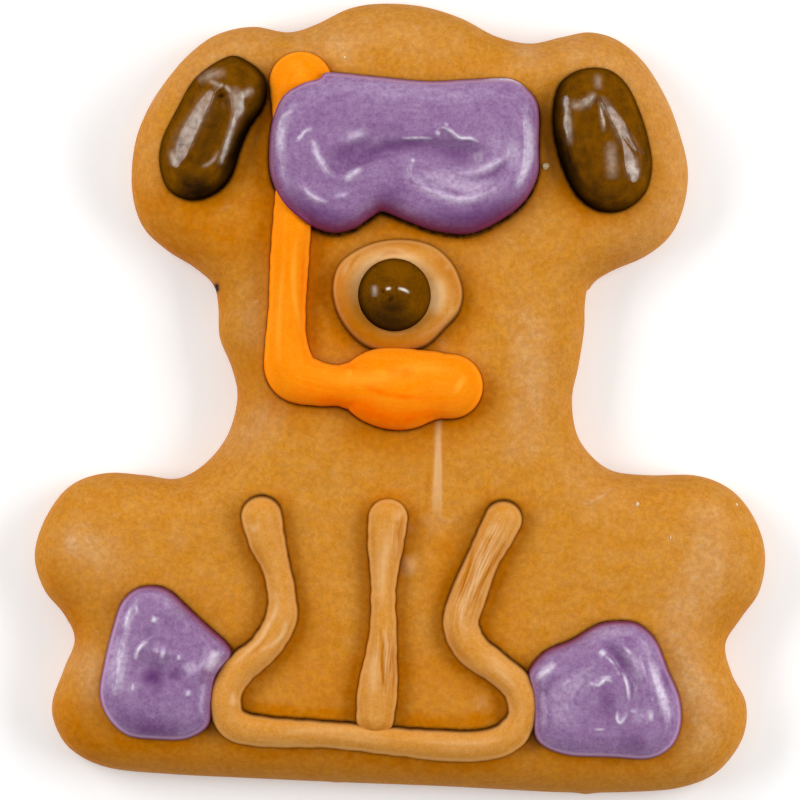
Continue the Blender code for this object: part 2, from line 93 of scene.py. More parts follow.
# How thick icing stays where it crosses a stroke, as a share, and how far it bridges away from the stroke's
# flanks, in half widths of the stroke
THIN_SHARE = 0.35
BRIDGE_START = 0.6
BRIDGE_END = 1.6
SNORKEL_RISE = 2.7
SNORKEL_RISE_UNDER_MASK = 1.5
MOUTHPIECE_RISE = 0.8
PIPING_RISE = 2.1
PIPING_HALF_WIDTH = 2.0
PIPING_RISE_PER_WIDTH = 0.35
# Shoulder width and rise, then crown width and rise
EAR_SECTION = (2.6, 2.5, 5.5, 0.7)
MASK_SECTION = (3.0, 2.9, 6.5, 0.7)
MUZZLE_SECTION = (2.4, 2.0, 3.0, 0.2)
NOSE_SECTION = (4.4, 2.05, 4.5, 0.15)
FLIPPER_SECTION = (2.7, 2.4, 6.5, 0.8)

# Spacing of mesh points
CURVE_SHARES = np.linspace(0.0, 1.0, 12, endpoint=False)
FINE_STEP = 0.15
FOLD_STEP = 0.3
BISCUIT_STEP = 0.45
BACK_STEP = 1.1
ICING_STEP = 0.15
UNDER_STEP = 1.2
MARK_STEP = 0.22
EDGE_STEP = 0.1
ICING_RINGS = (0.02, 0.07, 0.15, 0.27, 0.42, 0.6)
CREASE_ROWS = (-0.25, 0.05, 0.22, 0.45, 0.75)
MARK_ROWS = (-2.0, -1.2, -0.6, 0.0, 0.6, 1.2, 2.0)
BUBBLE_ROWS = (0.3, 0.7, 1.1, 1.6)
ARC_TURNS = np.radians(np.arange(9.0, 90.0, 9.0))
CHUNK = 4000
# Shares of its distance from the edge that a ring's or an outline's point keeps, or it is left out
RING_CLEARANCE = 0.97
STROKE_CLEARANCE = 0.985
# How thin lines fade out towards their ends
FADE_POWER = 0.8
# Least distances between mesh points where rows meet
ROW_GAP = 0.14
MARK_GAP = 0.12
FACE_GAP = 0.08
# Depth over which the plain distance from an edge gives way to the blended one, and its coarser edge
BLEND_DEPTH = 2.0
BLEND_STEP = 1.0

# The dark line of painted shade beside the icing, how much wider it is on the shaded side, and its least
# share elsewhere. The mask's line is wider and stronger.
CREASE_LEAST = 0.45
CREASE_WIDTH = 0.15
CREASE_SPREAD = 0.1
MASK_CREASE_SPREAD = 0.45
MASK_CREASE_STRENGTH = 1.5
# How far the painted shade round the icing reaches, a richer and darker colour. Near the biscuit's own edge
# it fades out from the start depth over the width. Beside most pieces it lies only where their edge faces
# down the page, from the start of the turn over its width.
HALO_TURN_START = 0.1
HALO_TURN_WIDTH = 0.5
HALO_REACH = 1.5
HALO_START = 4.0
HALO_WIDTH = 6.0
# Depth at which icing starts to be glossy and over which it becomes so, and how hard painted gloss ends
GLOSS_START = 0.5
GLOSS_WIDTH = 0.6
GLOSS_LEVEL = 0.28
GLOSS_SOFTNESS = 0.18
# Depth and half width of the fine pale line of painted highlight inside the icing's edge
RIDGE_DEPTH = 0.3
RIDGE_WIDTH = 0.14
# Side on which each piece's foot is darkened with painted shade, and the line of painted shade beside it too,
# how wide its foot is dark there, and the least share of that width elsewhere
SHADE_LEAST = 0.35
SHADE = {
    "ear_left": ((1.0, -0.7), 1.2), "ear_right": ((-1.0, -0.7), 1.2), "snorkel": ((-0.3, -1.0), 0.16),
    "mask": ((0.0, -1.0), 1.2), "muzzle": ((0.0, -1.0), 0.4), "nose": ((-1.0, -1.0), 0.7),
    "leg_piping": ((0.0, 1.0), 0.28), "leg_divider": ((0.0, -1.0), 0.14),
    "flipper_left": ((1.0, 1.0), 0.55), "flipper_right": ((-0.3, 1.0), 0.55),
}
# Painted shade on the coating's shoulder, deepest on this side, its reach, and the reach of a faint darkening
# all round
THIN_SIDE = (-1.0, -0.5)
THIN_WIDTH = 3.0
RIM_WIDTH = 2.4

# Outlines of the biscuit and of the flooded icing, clockwise: x, y
BISCUIT_OUTLINE = [
    (-2.0, 49.7), (3.0, 49.3), (7.8, 47.8), (12.0, 45.6), (16.3, 44.7), (20.3, 45.5), (23.8, 46.1),
    (27.3, 45.1), (30.6, 42.3), (33.4, 37.8), (35.1, 33.3), (36.1, 28.8), (35.6, 24.3), (33.9, 20.6),
    (30.8, 18.0), (26.5, 16.1), (23.8, 14.3), (23.2, 12.0), (23.1, 8.8), (22.4, 4.3), (21.6, 0.3),
    (22.1, -4.0), (24.0, -7.0), (26.8, -8.9), (31.3, -9.4), (36.8, -9.4), (40.5, -10.6), (43.1, -12.8),
    (45.1, -16.3), (45.8, -20.0), (45.0, -24.1), (42.8, -27.3), (40.8, -30.6), (41.6, -34.3), (43.4, -38.1),
    (42.9, -42.5), (39.8, -46.6), (35.5, -48.5), (30.0, -49.1), (21.0, -49.2), (12.5, -48.8), (5.0, -48.4),
    (-8.0, -47.9), (-18.8, -47.4), (-28.8, -46.9), (-36.5, -46.1), (-41.0, -44.0), (-43.1, -41.1),
    (-43.6, -37.9), (-42.1, -33.6), (-40.8, -30.0), (-42.1, -26.9), (-44.6, -23.8), (-45.8, -19.8),
    (-45.0, -16.0), (-42.9, -12.3), (-40.3, -10.1), (-36.5, -9.1), (-32.0, -9.4), (-27.8, -9.8),
    (-24.3, -7.8), (-21.6, -4.3), (-20.4, 0.3), (-21.1, 4.0), (-22.6, 7.8), (-22.8, 11.8), (-23.4, 14.4),
    (-25.8, 16.6), (-29.3, 18.8), (-32.3, 21.8), (-33.6, 26.3), (-33.3, 31.8), (-31.8, 36.1), (-29.5, 39.8),
    (-26.5, 43.3), (-23.0, 45.8), (-18.5, 46.8), (-14.0, 46.1), (-10.5, 47.1), (-6.3, 49.1),
]
EAR_LEFT = [
    (-21.5, 42.9), (-19.0, 42.3), (-17.1, 40.6), (-16.6, 38.8), (-17.1, 36.5), (-18.8, 33.9), (-19.9, 31.3),
    (-21.0, 28.0), (-23.0, 25.8), (-26.0, 24.9), (-28.8, 26.1), (-30.0, 29.0), (-29.8, 32.3), (-27.9, 36.3),
    (-25.5, 40.3),
]
EAR_RIGHT = [
    (24.0, 41.5), (26.4, 41.1), (28.4, 39.3), (30.0, 36.0), (31.1, 32.3), (31.5, 29.0), (30.6, 25.8),
    (28.0, 23.7), (24.8, 23.6), (22.0, 25.6), (20.1, 29.5), (19.1, 34.5), (19.6, 38.8), (21.5, 40.8),
]
MASK = [
    (-8.8, 40.9), (-3.1, 40.4), (3.5, 39.8), (10.0, 40.1), (13.8, 40.1), (16.1, 38.6), (17.3, 36.3),
    (17.3, 31.5), (17.2, 28.1), (15.6, 24.9), (12.8, 22.6), (8.8, 20.8), (4.5, 21.1), (1.0, 22.3),
    (-2.1, 23.5), (-3.5, 22.9), (-5.8, 21.4), (-8.5, 20.9), (-11.3, 21.9), (-14.4, 24.5), (-16.1, 27.9),
    (-16.3, 31.8), (-15.8, 35.3), (-14.5, 38.0), (-12.1, 39.5), (-10.1, 40.1),
]
MUZZLE = [
    (-0.1, 20.1), (3.8, 19.4), (6.5, 17.1), (7.8, 13.9), (7.4, 11.1), (5.5, 8.8), (3.0, 6.6), (-0.6, 6.0),
    (-3.9, 6.5), (-6.3, 8.4), (-8.0, 11.3), (-8.4, 14.5), (-7.3, 17.3), (-4.0, 19.4),
]
FLIPPER_LEFT = [
    (-30.9, -23.2), (-28.8, -23.8), (-26.5, -25.9), (-23.8, -28.4), (-21.6, -30.4), (-21.1, -32.0),
    (-22.9, -34.5), (-23.4, -37.5), (-23.9, -40.6), (-26.6, -42.3), (-30.3, -42.4), (-34.0, -41.9),
    (-36.4, -39.8), (-37.5, -36.8), (-37.0, -33.0), (-35.9, -28.5), (-34.8, -25.3), (-33.0, -23.6),
]
FLIPPER_RIGHT = [
    (27.8, -27.6), (30.0, -28.1), (32.0, -30.1), (33.4, -33.5), (34.9, -37.1), (35.1, -40.5), (33.9, -43.3),
    (31.0, -44.8), (26.3, -44.6), (21.3, -44.4), (18.2, -43.4), (16.8, -41.8), (16.6, -39.0), (16.5, -36.5),
    (16.1, -33.9), (18.1, -31.4), (21.5, -29.9), (24.8, -28.0),
]
NOSE_CENTRE = (-0.7, 13.1)
NOSE_RADIUS = 4.55
NOSE_POINTS = 12
# Edges of the mask between which it lies on the snorkel, and how fast the snorkel sinks under them
MASK_LOW_EDGE = 20.0
MASK_HIGH_EDGE = 42.5
SINK_LOW = 3.5
SINK_HIGH = 4.5
# Strokes piped in one go: x, y and half width along the middle of each
SNORKEL = [
    (-12.4, 39.6, 3.9), (-12.8, 35.0, 3.0), (-12.9, 28.8, 2.5), (-13.4, 23.1, 2.4), (-13.8, 17.3, 2.4),
    (-14.1, 11.3, 2.35), (-14.2, 6.9, 2.65), (-13.4, 3.3, 3.25), (-10.4, 2.05, 2.8), (-7.5, 1.8, 2.6),
    (-4.8, 1.75, 3.35), (-2.2, 1.6, 4.85), (0.4, 1.4, 5.1), (3.5, 1.8, 4.3), (6.3, 1.7, 4.05),
]
TUBE_HALF_WIDTH = 2.6
MOUTHPIECE_HALF_WIDTH = 5.0
LEG_PIPING = [
    (-17.3, -14.5, 2.55), (-16.6, -17.6, 2.3), (-15.5, -20.8, 1.8), (-14.8, -24.1, 1.8),
    (-14.9, -27.5, 2.0), (-17.0, -31.0, 1.95), (-20.3, -33.9, 2.05), (-21.8, -37.1, 2.0),
    (-20.9, -40.3, 2.05), (-17.0, -41.4, 1.95), (-8.8, -41.8, 1.7), (-0.9, -42.6, 1.8), (4.4, -43.1, 1.95),
    (9.6, -43.2, 1.95), (13.3, -42.2, 2.0), (15.3, -39.4, 1.85), (14.7, -35.9, 2.0), (12.0, -33.4, 2.0),
    (9.0, -31.1, 2.2), (7.6, -28.0, 2.25), (8.4, -24.8, 2.3), (10.3, -20.0, 2.1), (11.9, -16.9, 2.3),
    (12.9, -14.9, 2.4),
]
LEG_DIVIDER = [
    (-1.5, -14.8, 2.45), (-1.8, -18.1, 2.25), (-2.0, -21.9, 1.7), (-2.1, -25.0, 1.55), (-2.1, -28.8, 1.7),
    (-2.4, -32.5, 2.05), (-2.8, -36.3, 2.5), (-3.1, -39.6, 2.4),
]
# Where a stroke tore as it was piped: points, half width, strength
LEG_ROUGH = [([(13.4, -15.0), (10.2, -20.6), (8.0, -25.4), (8.2, -29.4)], 2.4, 1.0)]
DIVIDER_ROUGH = [
    ([(-1.6, -28.0), (-1.4, -33.0), (-1.6, -37.4)], 1.3, 1.0), ([(0.0, -14.0), (-0.4, -19.8)], 0.9, 0.8),
]

# Drips of coating at the foot of the lower edge: place along X, half width, reach
FOOT_DRIPS = [(23.3, 1.5, 0.65), (-8.0, 0.9, 0.35)]
# Broad swells and hollows of the baked dough: x, y, radius, height
DOUGH_SWELLS = [
    (-35.0, -19.0, 8.0, 0.35), (36.0, -19.0, 8.0, 0.35), (0.0, -8.0, 11.0, -0.25), (8.1, -16.0, 2.4, -0.3),
    (-26.0, 33.0, 7.0, 0.2), (17.0, 5.0, 7.0, 0.25), (20.0, -33.0, 9.0, -0.2), (-18.0, 10.0, 6.0, -0.2),
    (1.0, -20.6, 0.9, 0.35), (4.4, -16.9, 1.0, 0.12),
]
# Runs, smears and cracks of the coating: points along each, half width, height
COATING_LINES = [
    ([(5.0, -1.8), (5.1, -6.9), (5.2, -11.0), (5.1, -14.8)], 0.28, 0.22),
    ([(4.6, -2.8), (4.1, -11.0), (3.8, -14.4)], 0.3, 0.12),
    ([(5.0, -14.3), (5.5, -15.1), (6.4, -15.1), (7.4, -13.9)], 0.35, 0.14),
    ([(22.0, -12.4), (23.1, -13.0), (24.9, -12.2), (26.8, -10.7)], 0.16, 0.14),
    ([(22.4, -13.2), (23.4, -12.5), (24.6, -12.9)], 0.14, 0.1),
    ([(-22.9, 23.4), (-21.6, 24.1), (-20.2, 24.6)], 0.2, 0.12),
    ([(-19.4, 25.0), (-17.3, 25.1)], 0.18, 0.08),
    ([(-22.9, 17.0), (-22.1, 17.8), (-21.3, 18.3)], 0.16, -0.12),
    ([(-18.3, 11.9), (-17.5, 12.5)], 0.2, 0.1), ([(5.2, 6.2), (5.2, 7.6)], 0.4, 0.08),
]
# Burst bubbles in the coating: x, y, radius, depth
BUBBLES = [(-22.95, 14.3, 0.34, 0.5), (-22.9, 13.8, 0.3, 0.4)]
# Loose crumbs on the coating: x, y, radius
CRUMBS = [
    (18.2, 29.2, 0.36), (29.7, -13.0, 0.22), (33.8, -17.2, 0.18), (42.1, -13.1, 0.2), (-6.9, 42.8, 0.18),
]
# Pale marks of the coating: pale flecks, and pale streaks along its runs, smears and cracks that are partly
# painted highlight on their crests; then the brightest ones, a painted highlight along the crack below the
# mouthpiece and a few creamy places: points, half width, strength
COATING_BLOOM = [
    ([(5.0, -14.4), (5.5, -15.1), (6.4, -15.1), (7.6, -13.7)], 0.5, 0.6),
    ([(3.0, -17.6), (4.4, -16.2), (5.8, -17.2)], 0.6, 0.4),
    ([(22.0, -12.4), (23.1, -13.0), (24.9, -12.2), (26.8, -10.7)], 0.2, 1.0),
    ([(22.2, -13.3), (23.4, -12.4), (24.6, -13.1)], 0.25, 0.7),
    ([(-22.9, 23.4), (-21.6, 24.1), (-20.2, 24.6)], 0.22, 0.8), ([(-19.4, 25.0), (-17.3, 25.1)], 0.25, 0.5),
    ([(-18.3, 11.9), (-17.5, 12.5)], 0.3, 0.7), ([(5.2, 6.0), (5.2, 8.4)], 0.5, 0.7),
    ([(17.4, 9.4), (17.8, 7.4)], 0.6, 0.5), ([(22.4, 9.4), (22.6, 7.6)], 0.5, 0.35),
    ([(14.0, -6.4), (14.4, -7.4)], 0.6, 0.4), ([(11.6, -10.2), (12.2, -10.8)], 0.5, 0.4),
    ([(9.8, -37.8), (10.4, -38.2)], 0.6, 0.5), ([(-7.2, 43.2), (-6.4, 42.4)], 0.4, 0.6),
    ([(-4.0, 42.8), (-3.4, 42.3)], 0.4, 0.5), ([(29.0, -13.4), (30.0, -12.7)], 0.4, 0.5),
    ([(33.4, -17.4), (34.2, -17.0)], 0.4, 0.5), ([(2.6, 19.6), (3.2, 20.2)], 0.4, 0.4),
]
COATING_CREAM = [
    ([(4.9, 0.8), (4.85, -4.0), (4.95, -9.0), (5.0, -15.6)], 0.26, 1.0),
    ([(4.8, 0.6), (4.6, -6.0), (4.3, -12.0), (4.1, -15.4)], 0.25, 0.8),
    ([(4.75, -3.0), (4.6, -14.8)], 0.4, 0.8), ([(1.2, -19.2), (1.2, -22.2)], 0.9, 0.5),
    ([(2.2, -14.8), (5.6, -15.2)], 0.8, 0.2), ([(-1.0, -15.0), (2.4, -16.4)], 0.6, 0.15),
]
# Broad patches of painted sheen on the coating: chains of x, y, radius, strength
COATING_SHEEN = [
    [(-41.2, -17.4, 1.1, 0.9), (-40.8, -18.6, 1.2, 0.8)],
    [(-39.6, -18.0, 2.6, 0.6), (-37.6, -19.6, 3.2, 0.5), (-36.0, -21.4, 3.0, 0.3)],
    [(-28.0, -17.4, 1.2, 0.25), (-27.4, -17.6, 1.2, 0.25)],
    [(-20.6, -5.4, 2.4, 0.3), (-15.8, -1.6, 2.0, 0.6)],
    [(-39.4, -33.0, 2.2, 0.6), (-38.4, -36.4, 1.8, 0.4)], [(16.0, 43.0, 1.8, 0.6), (17.6, 42.6, 1.6, 0.5)],
    [(-31.6, 37.4, 1.4, 0.5), (-30.8, 38.8, 1.4, 0.4)], [(36.4, -36.0, 1.6, 0.8), (36.6, -39.4, 1.6, 0.8)],
    [(-18.9, 13.0, 1.6, 0.25), (-18.6, 8.0, 1.6, 0.3)],
    [(15.4, 12.0, 2.0, 0.25), (16.2, 6.0, 2.2, 0.6), (16.4, 1.0, 2.2, 0.6), (15.4, -5.0, 2.6, 0.35)],
    [(38.4, -15.0, 2.6, 0.4), (38.4, -20.4, 3.0, 0.65), (35.0, -27.0, 2.6, 0.6), (36.0, -33.6, 2.2, 0.7),
     (38.4, -38.6, 2.2, 0.7), (37.0, -43.0, 2.4, 0.4)],
    [(-12.0, 44.4, 2.0, 0.25), (-8.0, 44.6, 2.2, 0.5), (-4.0, 46.0, 2.0, 0.3), (6.0, 45.0, 3.0, 0.15)],
    [(-27.0, 39.6, 2.0, 0.25), (-22.6, 43.2, 2.2, 0.4), (-17.6, 44.4, 2.0, 0.25)],
    [(22.0, 43.6, 2.4, 0.4), (31.0, 39.6, 2.2, 0.35), (34.0, 33.0, 2.0, 0.3), (34.4, 25.0, 2.2, 0.3),
     (29.0, 19.4, 2.6, 0.25)],
    [(-31.4, 33.0, 1.2, 0.25), (-31.6, 27.0, 1.2, 0.2)], [(22.0, -10.0, 3.0, 0.2), (26.0, -12.4, 3.0, 0.2)],
    [(10.4, -38.0, 0.9, 0.45), (11.2, -38.0, 0.9, 0.45)],
    [(10.0, 18.0, 3.0, 0.15), (16.0, 24.0, 2.6, 0.15)],
]
# Broad patches of painted shade, deeper and richer in colour, beside and below the icing, in the notches and
# along the lower edge: chains of x, y, radius, strength
COATING_DEEP = [
    [(-20.8, -36.6, 1.6, 0.9), (-19.0, -38.6, 1.3, 0.9), (-12.0, -39.2, 1.2, 0.9), (-6.4, -39.4, 1.3, 0.9)],
    [(0.8, -39.8, 1.3, 0.9), (6.0, -40.2, 1.2, 0.9), (10.6, -39.2, 1.4, 0.9), (12.4, -36.4, 1.5, 0.8),
     (9.6, -32.4, 1.3, 0.6)],
    [(-8.6, 19.4, 2.0, 0.7), (-9.4, 12.0, 1.6, 0.8), (-7.4, 6.8, 1.6, 0.8)],
    [(9.4, 18.0, 2.6, 0.5), (9.4, 11.0, 1.8, 0.6), (7.4, 7.4, 1.4, 0.7)],
    [(-2.0, 21.0, 1.6, 0.7), (4.0, 20.6, 1.6, 0.5)],
    [(-33.0, 25.6, 2.2, 0.6), (-28.0, 23.0, 3.0, 0.8), (-20.6, 25.4, 2.0, 0.8)],
    [(-30.0, 20.6, 2.2, 0.8), (-26.6, 18.4, 2.2, 0.9)], [(20.0, 26.4, 1.6, 0.6), (23.0, 22.6, 1.8, 0.6)],
    [(-31.0, 22.6, 3.0, 0.5), (-25.0, 21.6, 4.5, 1.0), (-18.6, 20.4, 3.5, 1.0), (-17.4, 27.0, 2.4, 1.0),
     (-16.4, 36.0, 1.6, 0.9)],
    [(-9.8, 18.6, 2.4, 0.8), (-9.8, 8.0, 2.4, 0.9)],
    [(-19.0, 5.0, 2.4, 0.6), (-18.6, 1.0, 1.8, 0.4), (-12.0, -3.4, 1.6, 0.6)],
    [(-6.0, -5.0, 2.0, 0.8), (2.0, -6.0, 2.2, 0.7), (9.0, -3.4, 2.0, 0.6), (12.4, 1.4, 1.4, 0.4)],
    [(-43.6, -21.6, 1.4, 0.5), (-41.0, -27.6, 2.4, 0.8), (-40.0, -30.0, 1.4, 0.5)],
    [(-40.0, -43.0, 2.2, 0.9), (-20.0, -45.2, 1.8, 0.5), (0.0, -45.8, 1.8, 0.5), (20.0, -46.8, 1.8, 0.4),
     (30.0, -47.0, 1.6, 0.3)],
    [(-12.0, -28.0, 4.0, 0.4), (-10.0, -36.0, 4.0, 0.6), (2.4, -34.0, 3.4, 0.6), (9.0, -37.0, 2.6, 0.4)],
    [(6.0, -18.0, 1.6, 0.8), (5.0, -24.0, 2.4, 0.5)], [(12.4, -19.6, 2.4, 0.5), (13.0, -27.0, 3.4, 0.5)],
    [(-41.4, -39.4, 2.2, 0.9), (-39.6, -42.6, 2.4, 1.1), (-37.6, -44.6, 2.0, 0.8)],
    [(42.6, -26.0, 1.6, 0.5), (40.0, -31.0, 1.4, 0.3)],
    [(4.2, -2.0, 0.25, 0.8), (3.5, -8.0, 0.3, 0.8), (3.2, -13.6, 0.3, 0.6)],
    [(2.4, -15.6, 1.6, 0.5), (5.0, -18.6, 2.0, 0.6)], [(-22.6, 14.6, 0.8, 0.7), (-22.2, 11.6, 0.7, 0.6)],
    [(0.6, 21.0, 2.0, 0.6), (8.4, 19.0, 2.0, 0.4)], [(-36.0, -24.0, 3.0, 0.3), (-22.0, -26.0, 3.0, 0.3)],
    [(-12.0, -36.0, 4.0, 0.45), (5.0, -36.0, 4.0, 0.4)],
]

# Ridges and grooves that the icing bag left. Each station is x, y, width on the left of the way along,
# width on the right, height; a chain with one width has it on both sides. Soft ones have a bell-shaped
# section, crisp ones a sharp crest, facets two straight slopes.
EAR_LEFT_SOFT = [
    [(-22.4, 37.6, 0.8, -0.1), (-22.9, 35.0, 0.9, -0.2), (-24.0, 32.0, 1.0, -0.15),
     (-25.0, 29.6, 1.0, -0.1)],
    [(-22.3, 38.3, 0.5, -0.3), (-22.2, 37.7, 0.5, -0.3)],
]
EAR_LEFT_CRISP = [
    [(-22.5, 39.4, 0.4, 0.8, 0.05), (-23.1, 38.4, 0.5, 1.3, 0.3), (-23.6, 37.0, 0.5, 1.7, 0.38),
     (-24.3, 35.5, 0.6, 2.1, 0.45), (-25.1, 33.6, 0.6, 2.5, 0.48), (-25.9, 31.8, 0.7, 2.8, 0.5),
     (-26.6, 30.2, 0.7, 2.8, 0.46), (-27.3, 29.1, 0.6, 2.0, 0.12)],
]
EAR_LEFT_FACETS = [
    [(-21.7, 39.2, 0.8, 0.4, 0.05), (-21.2, 38.3, 1.9, 0.5, 0.62), (-21.0, 37.0, 1.9, 0.5, 0.62),
     (-20.9, 35.9, 1.5, 0.6, 0.48), (-21.1, 34.6, 1.3, 0.6, 0.4), (-21.5, 33.3, 1.0, 0.6, 0.3),
     (-22.0, 31.9, 0.8, 0.6, 0.25), (-22.5, 30.4, 0.7, 0.6, 0.2), (-22.9, 29.4, 0.5, 0.5, 0.05)],
    [(-22.9, 31.2, 0.4, 0.4, 0.02), (-23.7, 30.2, 0.6, 0.4, 0.2), (-24.7, 29.4, 0.5, 0.4, 0.04)],
]
EAR_RIGHT_SOFT = [[(22.6, 35.6, 1.0, -0.1), (23.2, 33.0, 1.2, -0.2), (23.8, 29.5, 1.2, -0.15)]]
EAR_RIGHT_FACETS = [
    [(24.8, 38.4, 0.3, 0.3, 0.05), (25.4, 36.9, 1.1, 0.4, 0.4), (26.1, 35.3, 1.4, 0.5, 0.5),
     (26.9, 33.8, 1.6, 0.5, 0.52), (27.4, 32.4, 1.7, 0.5, 0.5), (27.7, 31.0, 1.9, 0.6, 0.5),
     (27.9, 29.4, 2.1, 0.7, 0.46), (28.3, 28.0, 1.6, 0.7, 0.1)],
    [(24.6, 38.1, 0.4, 0.3, 0.05), (24.8, 36.4, 0.55, 0.4, 0.22), (25.1, 34.8, 0.55, 0.4, 0.2),
     (25.2, 33.2, 0.5, 0.4, 0.04)],
    [(24.5, 38.6, 0.3, 0.5, 0.05), (23.9, 37.5, 0.3, 1.5, 0.6), (23.1, 36.2, 0.3, 1.3, 0.2)],
]
MASK_SOFT = [
    [(-8.0, 28.5, 1.7, 0.45, -0.4), (-6.3, 29.2, 2.0, 0.5, -0.65), (-3.5, 30.5, 1.8, 0.6, -0.8),
     (-1.0, 31.2, 1.3, 1.0, -0.9), (1.5, 31.5, 1.0, 1.5, -0.9), (4.5, 31.4, 1.2, 1.9, -1.05),
     (7.0, 31.0, 1.3, 2.1, -1.15), (9.0, 30.7, 1.2, 1.8, -0.8), (10.4, 30.9, 0.8, 0.8, -0.1)],
    [(-8.8, 31.4, 0.9, 0.8, 0.12), (-5.7, 32.9, 1.2, 0.9, 0.35), (-3.2, 33.7, 1.2, 0.9, 0.15)],
    [(8.0, 27.5, 0.4, -0.05), (11.1, 28.0, 0.4, -0.18), (12.7, 29.0, 0.4, -0.18), (14.0, 30.6, 0.4, -0.1)],
]
MASK_CRISP = [
    [(4.3, 33.3, 0.8, 0.4, 0.1), (5.4, 33.9, 1.3, 0.4, 0.38), (6.5, 33.4, 1.5, 0.4, 0.42),
     (7.6, 32.6, 1.5, 0.4, 0.42), (9.0, 32.4, 1.2, 0.4, 0.3), (10.2, 31.8, 0.8, 0.4, 0.05)],
    [(-0.4, 32.5, 0.7, 0.35, 0.05), (2.2, 32.7, 0.9, 0.35, 0.22), (4.2, 32.7, 0.7, 0.35, 0.1)],
    [(-11.4, 33.4, 0.4, 0.8, 0.05), (-10.8, 31.5, 0.5, 1.2, 0.3), (-9.9, 29.8, 0.6, 1.4, 0.38),
     (-9.0, 28.5, 0.5, 1.2, 0.35), (-8.0, 27.5, 0.4, 0.8, 0.08)],
    [(-7.7, 27.1, 0.35, 1.0, 0.1), (-6.2, 28.1, 0.35, 1.5, 0.4), (-4.4, 29.3, 0.35, 1.2, 0.1)],
    [(-12.7, 27.9, 0.5, 0.8, 0.05), (-11.9, 26.2, 0.6, 0.9, 0.25), (-10.6, 25.2, 0.6, 0.9, 0.28),
     (-9.0, 24.7, 0.6, 0.8, 0.12), (-7.0, 25.3, 0.5, 0.6, 0.04)],
    [(1.4, 30.3, 0.5, 0.5, 0.08), (1.2, 28.2, 0.9, 0.6, 0.25), (2.8, 26.5, 1.0, 0.7, 0.28),
     (5.2, 25.5, 1.0, 0.7, 0.28), (8.0, 25.0, 1.0, 0.8, 0.3), (10.5, 25.6, 1.0, 0.8, 0.3),
     (12.6, 26.8, 0.9, 0.8, 0.25), (14.3, 29.0, 0.7, 0.6, 0.05)],
    [(4.6, 29.4, 0.4, 0.5, 0.05), (6.0, 28.6, 0.5, 0.8, 0.22), (8.0, 28.4, 0.5, 0.9, 0.25),
     (10.5, 28.8, 0.6, 0.8, 0.25), (12.8, 30.1, 0.6, 0.7, 0.2), (13.7, 32.0, 0.5, 0.5, 0.04)],
]
MASK_FACETS = [
    [(15.2, 36.2, 1.5, 0.8, 0.02), (15.4, 34.4, 1.6, 0.8, 0.16), (15.5, 31.4, 1.6, 0.8, 0.18),
     (15.1, 28.6, 1.6, 0.8, 0.16), (14.0, 26.2, 1.4, 0.8, 0.02)],
]
MUZZLE_SOFT = [
    [(NOSE_CENTRE[0] - 0.1, NOSE_CENTRE[1], 4.2, -0.35),
     (NOSE_CENTRE[0] + 0.1, NOSE_CENTRE[1], 4.2, -0.35)],
    [(-3.3, 17.6, 0.5, -0.05), (-1.2, 18.4, 0.5, -0.16), (1.0, 18.2, 0.5, -0.05)],
]
MUZZLE_CRISP = [
    [(-6.9, 13.6, 0.6, 0.6, 0.05), (-6.4, 15.6, 0.7, 0.8, 0.16), (-4.6, 17.7, 0.8, 0.9, 0.2),
     (-1.8, 19.0, 0.7, 0.7, 0.16), (1.4, 19.2, 0.5, 0.5, 0.05)],
    [(-3.2, 16.9, 0.3, 0.05), (-1.0, 17.8, 0.4, 0.12), (1.6, 17.4, 0.3, 0.05)],
]
NOSE_SOFT = [[(-1.5, 12.8, 0.6, -0.16), (-1.0, 12.3, 0.6, -0.16)]]
NOSE_FACETS = [
    [(-0.3, 14.2, 1.6, 0.2, 0.22), (-0.3, 13.4, 1.6, 0.2, 0.22)],
    [(-1.8, 14.2, 0.9, 0.2, 0.16), (-1.8, 13.6, 0.9, 0.2, 0.16)],
    [(-2.5, 14.5, 0.3, 1.1, 0.12), (-2.4, 12.9, 0.3, 1.1, 0.12)],
]
FLIPPER_LEFT_SOFT = [
    [(-31.6, -33.4, 1.7, -0.75), (-30.6, -34.2, 1.7, -0.7)],
    [(-29.9, -31.6, 0.85, 0.5), (-29.3, -31.7, 0.85, 0.45)],
    [(-26.6, -32.7, 1.1, 0.2), (-25.6, -34.0, 1.1, 0.25)],
    [(-34.8, -30.0, 0.9, 0.1), (-35.3, -33.0, 0.9, 0.15), (-35.2, -36.6, 0.9, 0.1)],
    [(-34.0, -39.6, 1.2, -0.1), (-29.5, -40.2, 1.2, -0.15)],
]
FLIPPER_LEFT_CRISP = [
    [(-33.0, -33.4, 0.5, 0.7, 0.05), (-32.9, -32.0, 0.5, 0.9, 0.3), (-32.4, -30.8, 0.5, 0.9, 0.35),
     (-31.4, -30.0, 0.4, 0.8, 0.25), (-29.5, -29.1, 0.3, 0.6, 0.05)],
]
FLIPPER_LEFT_FACETS = [
    [(-24.4, -35.2, 0.7, 1.0, 0.05), (-24.5, -33.6, 0.7, 1.8, 0.6), (-23.9, -31.6, 0.7, 1.8, 0.55),
     (-23.2, -30.2, 0.6, 1.0, 0.05)],
]
FLIPPER_RIGHT_SOFT = [
    [(25.6, -30.6, 0.7, 0.8, -0.3), (27.2, -32.4, 0.8, 0.8, -0.6), (28.2, -34.3, 0.9, 0.7, -0.6),
     (28.8, -36.2, 0.9, 0.7, -0.5), (28.5, -38.6, 0.8, 0.8, -0.2)],
    [(21.0, -38.0, 2.4, -0.2), (25.5, -39.6, 2.4, -0.25)],
    [(28.8, -31.4, 0.8, 0.2), (29.9, -33.4, 0.8, 0.25), (30.6, -36.0, 0.8, 0.15)],
]
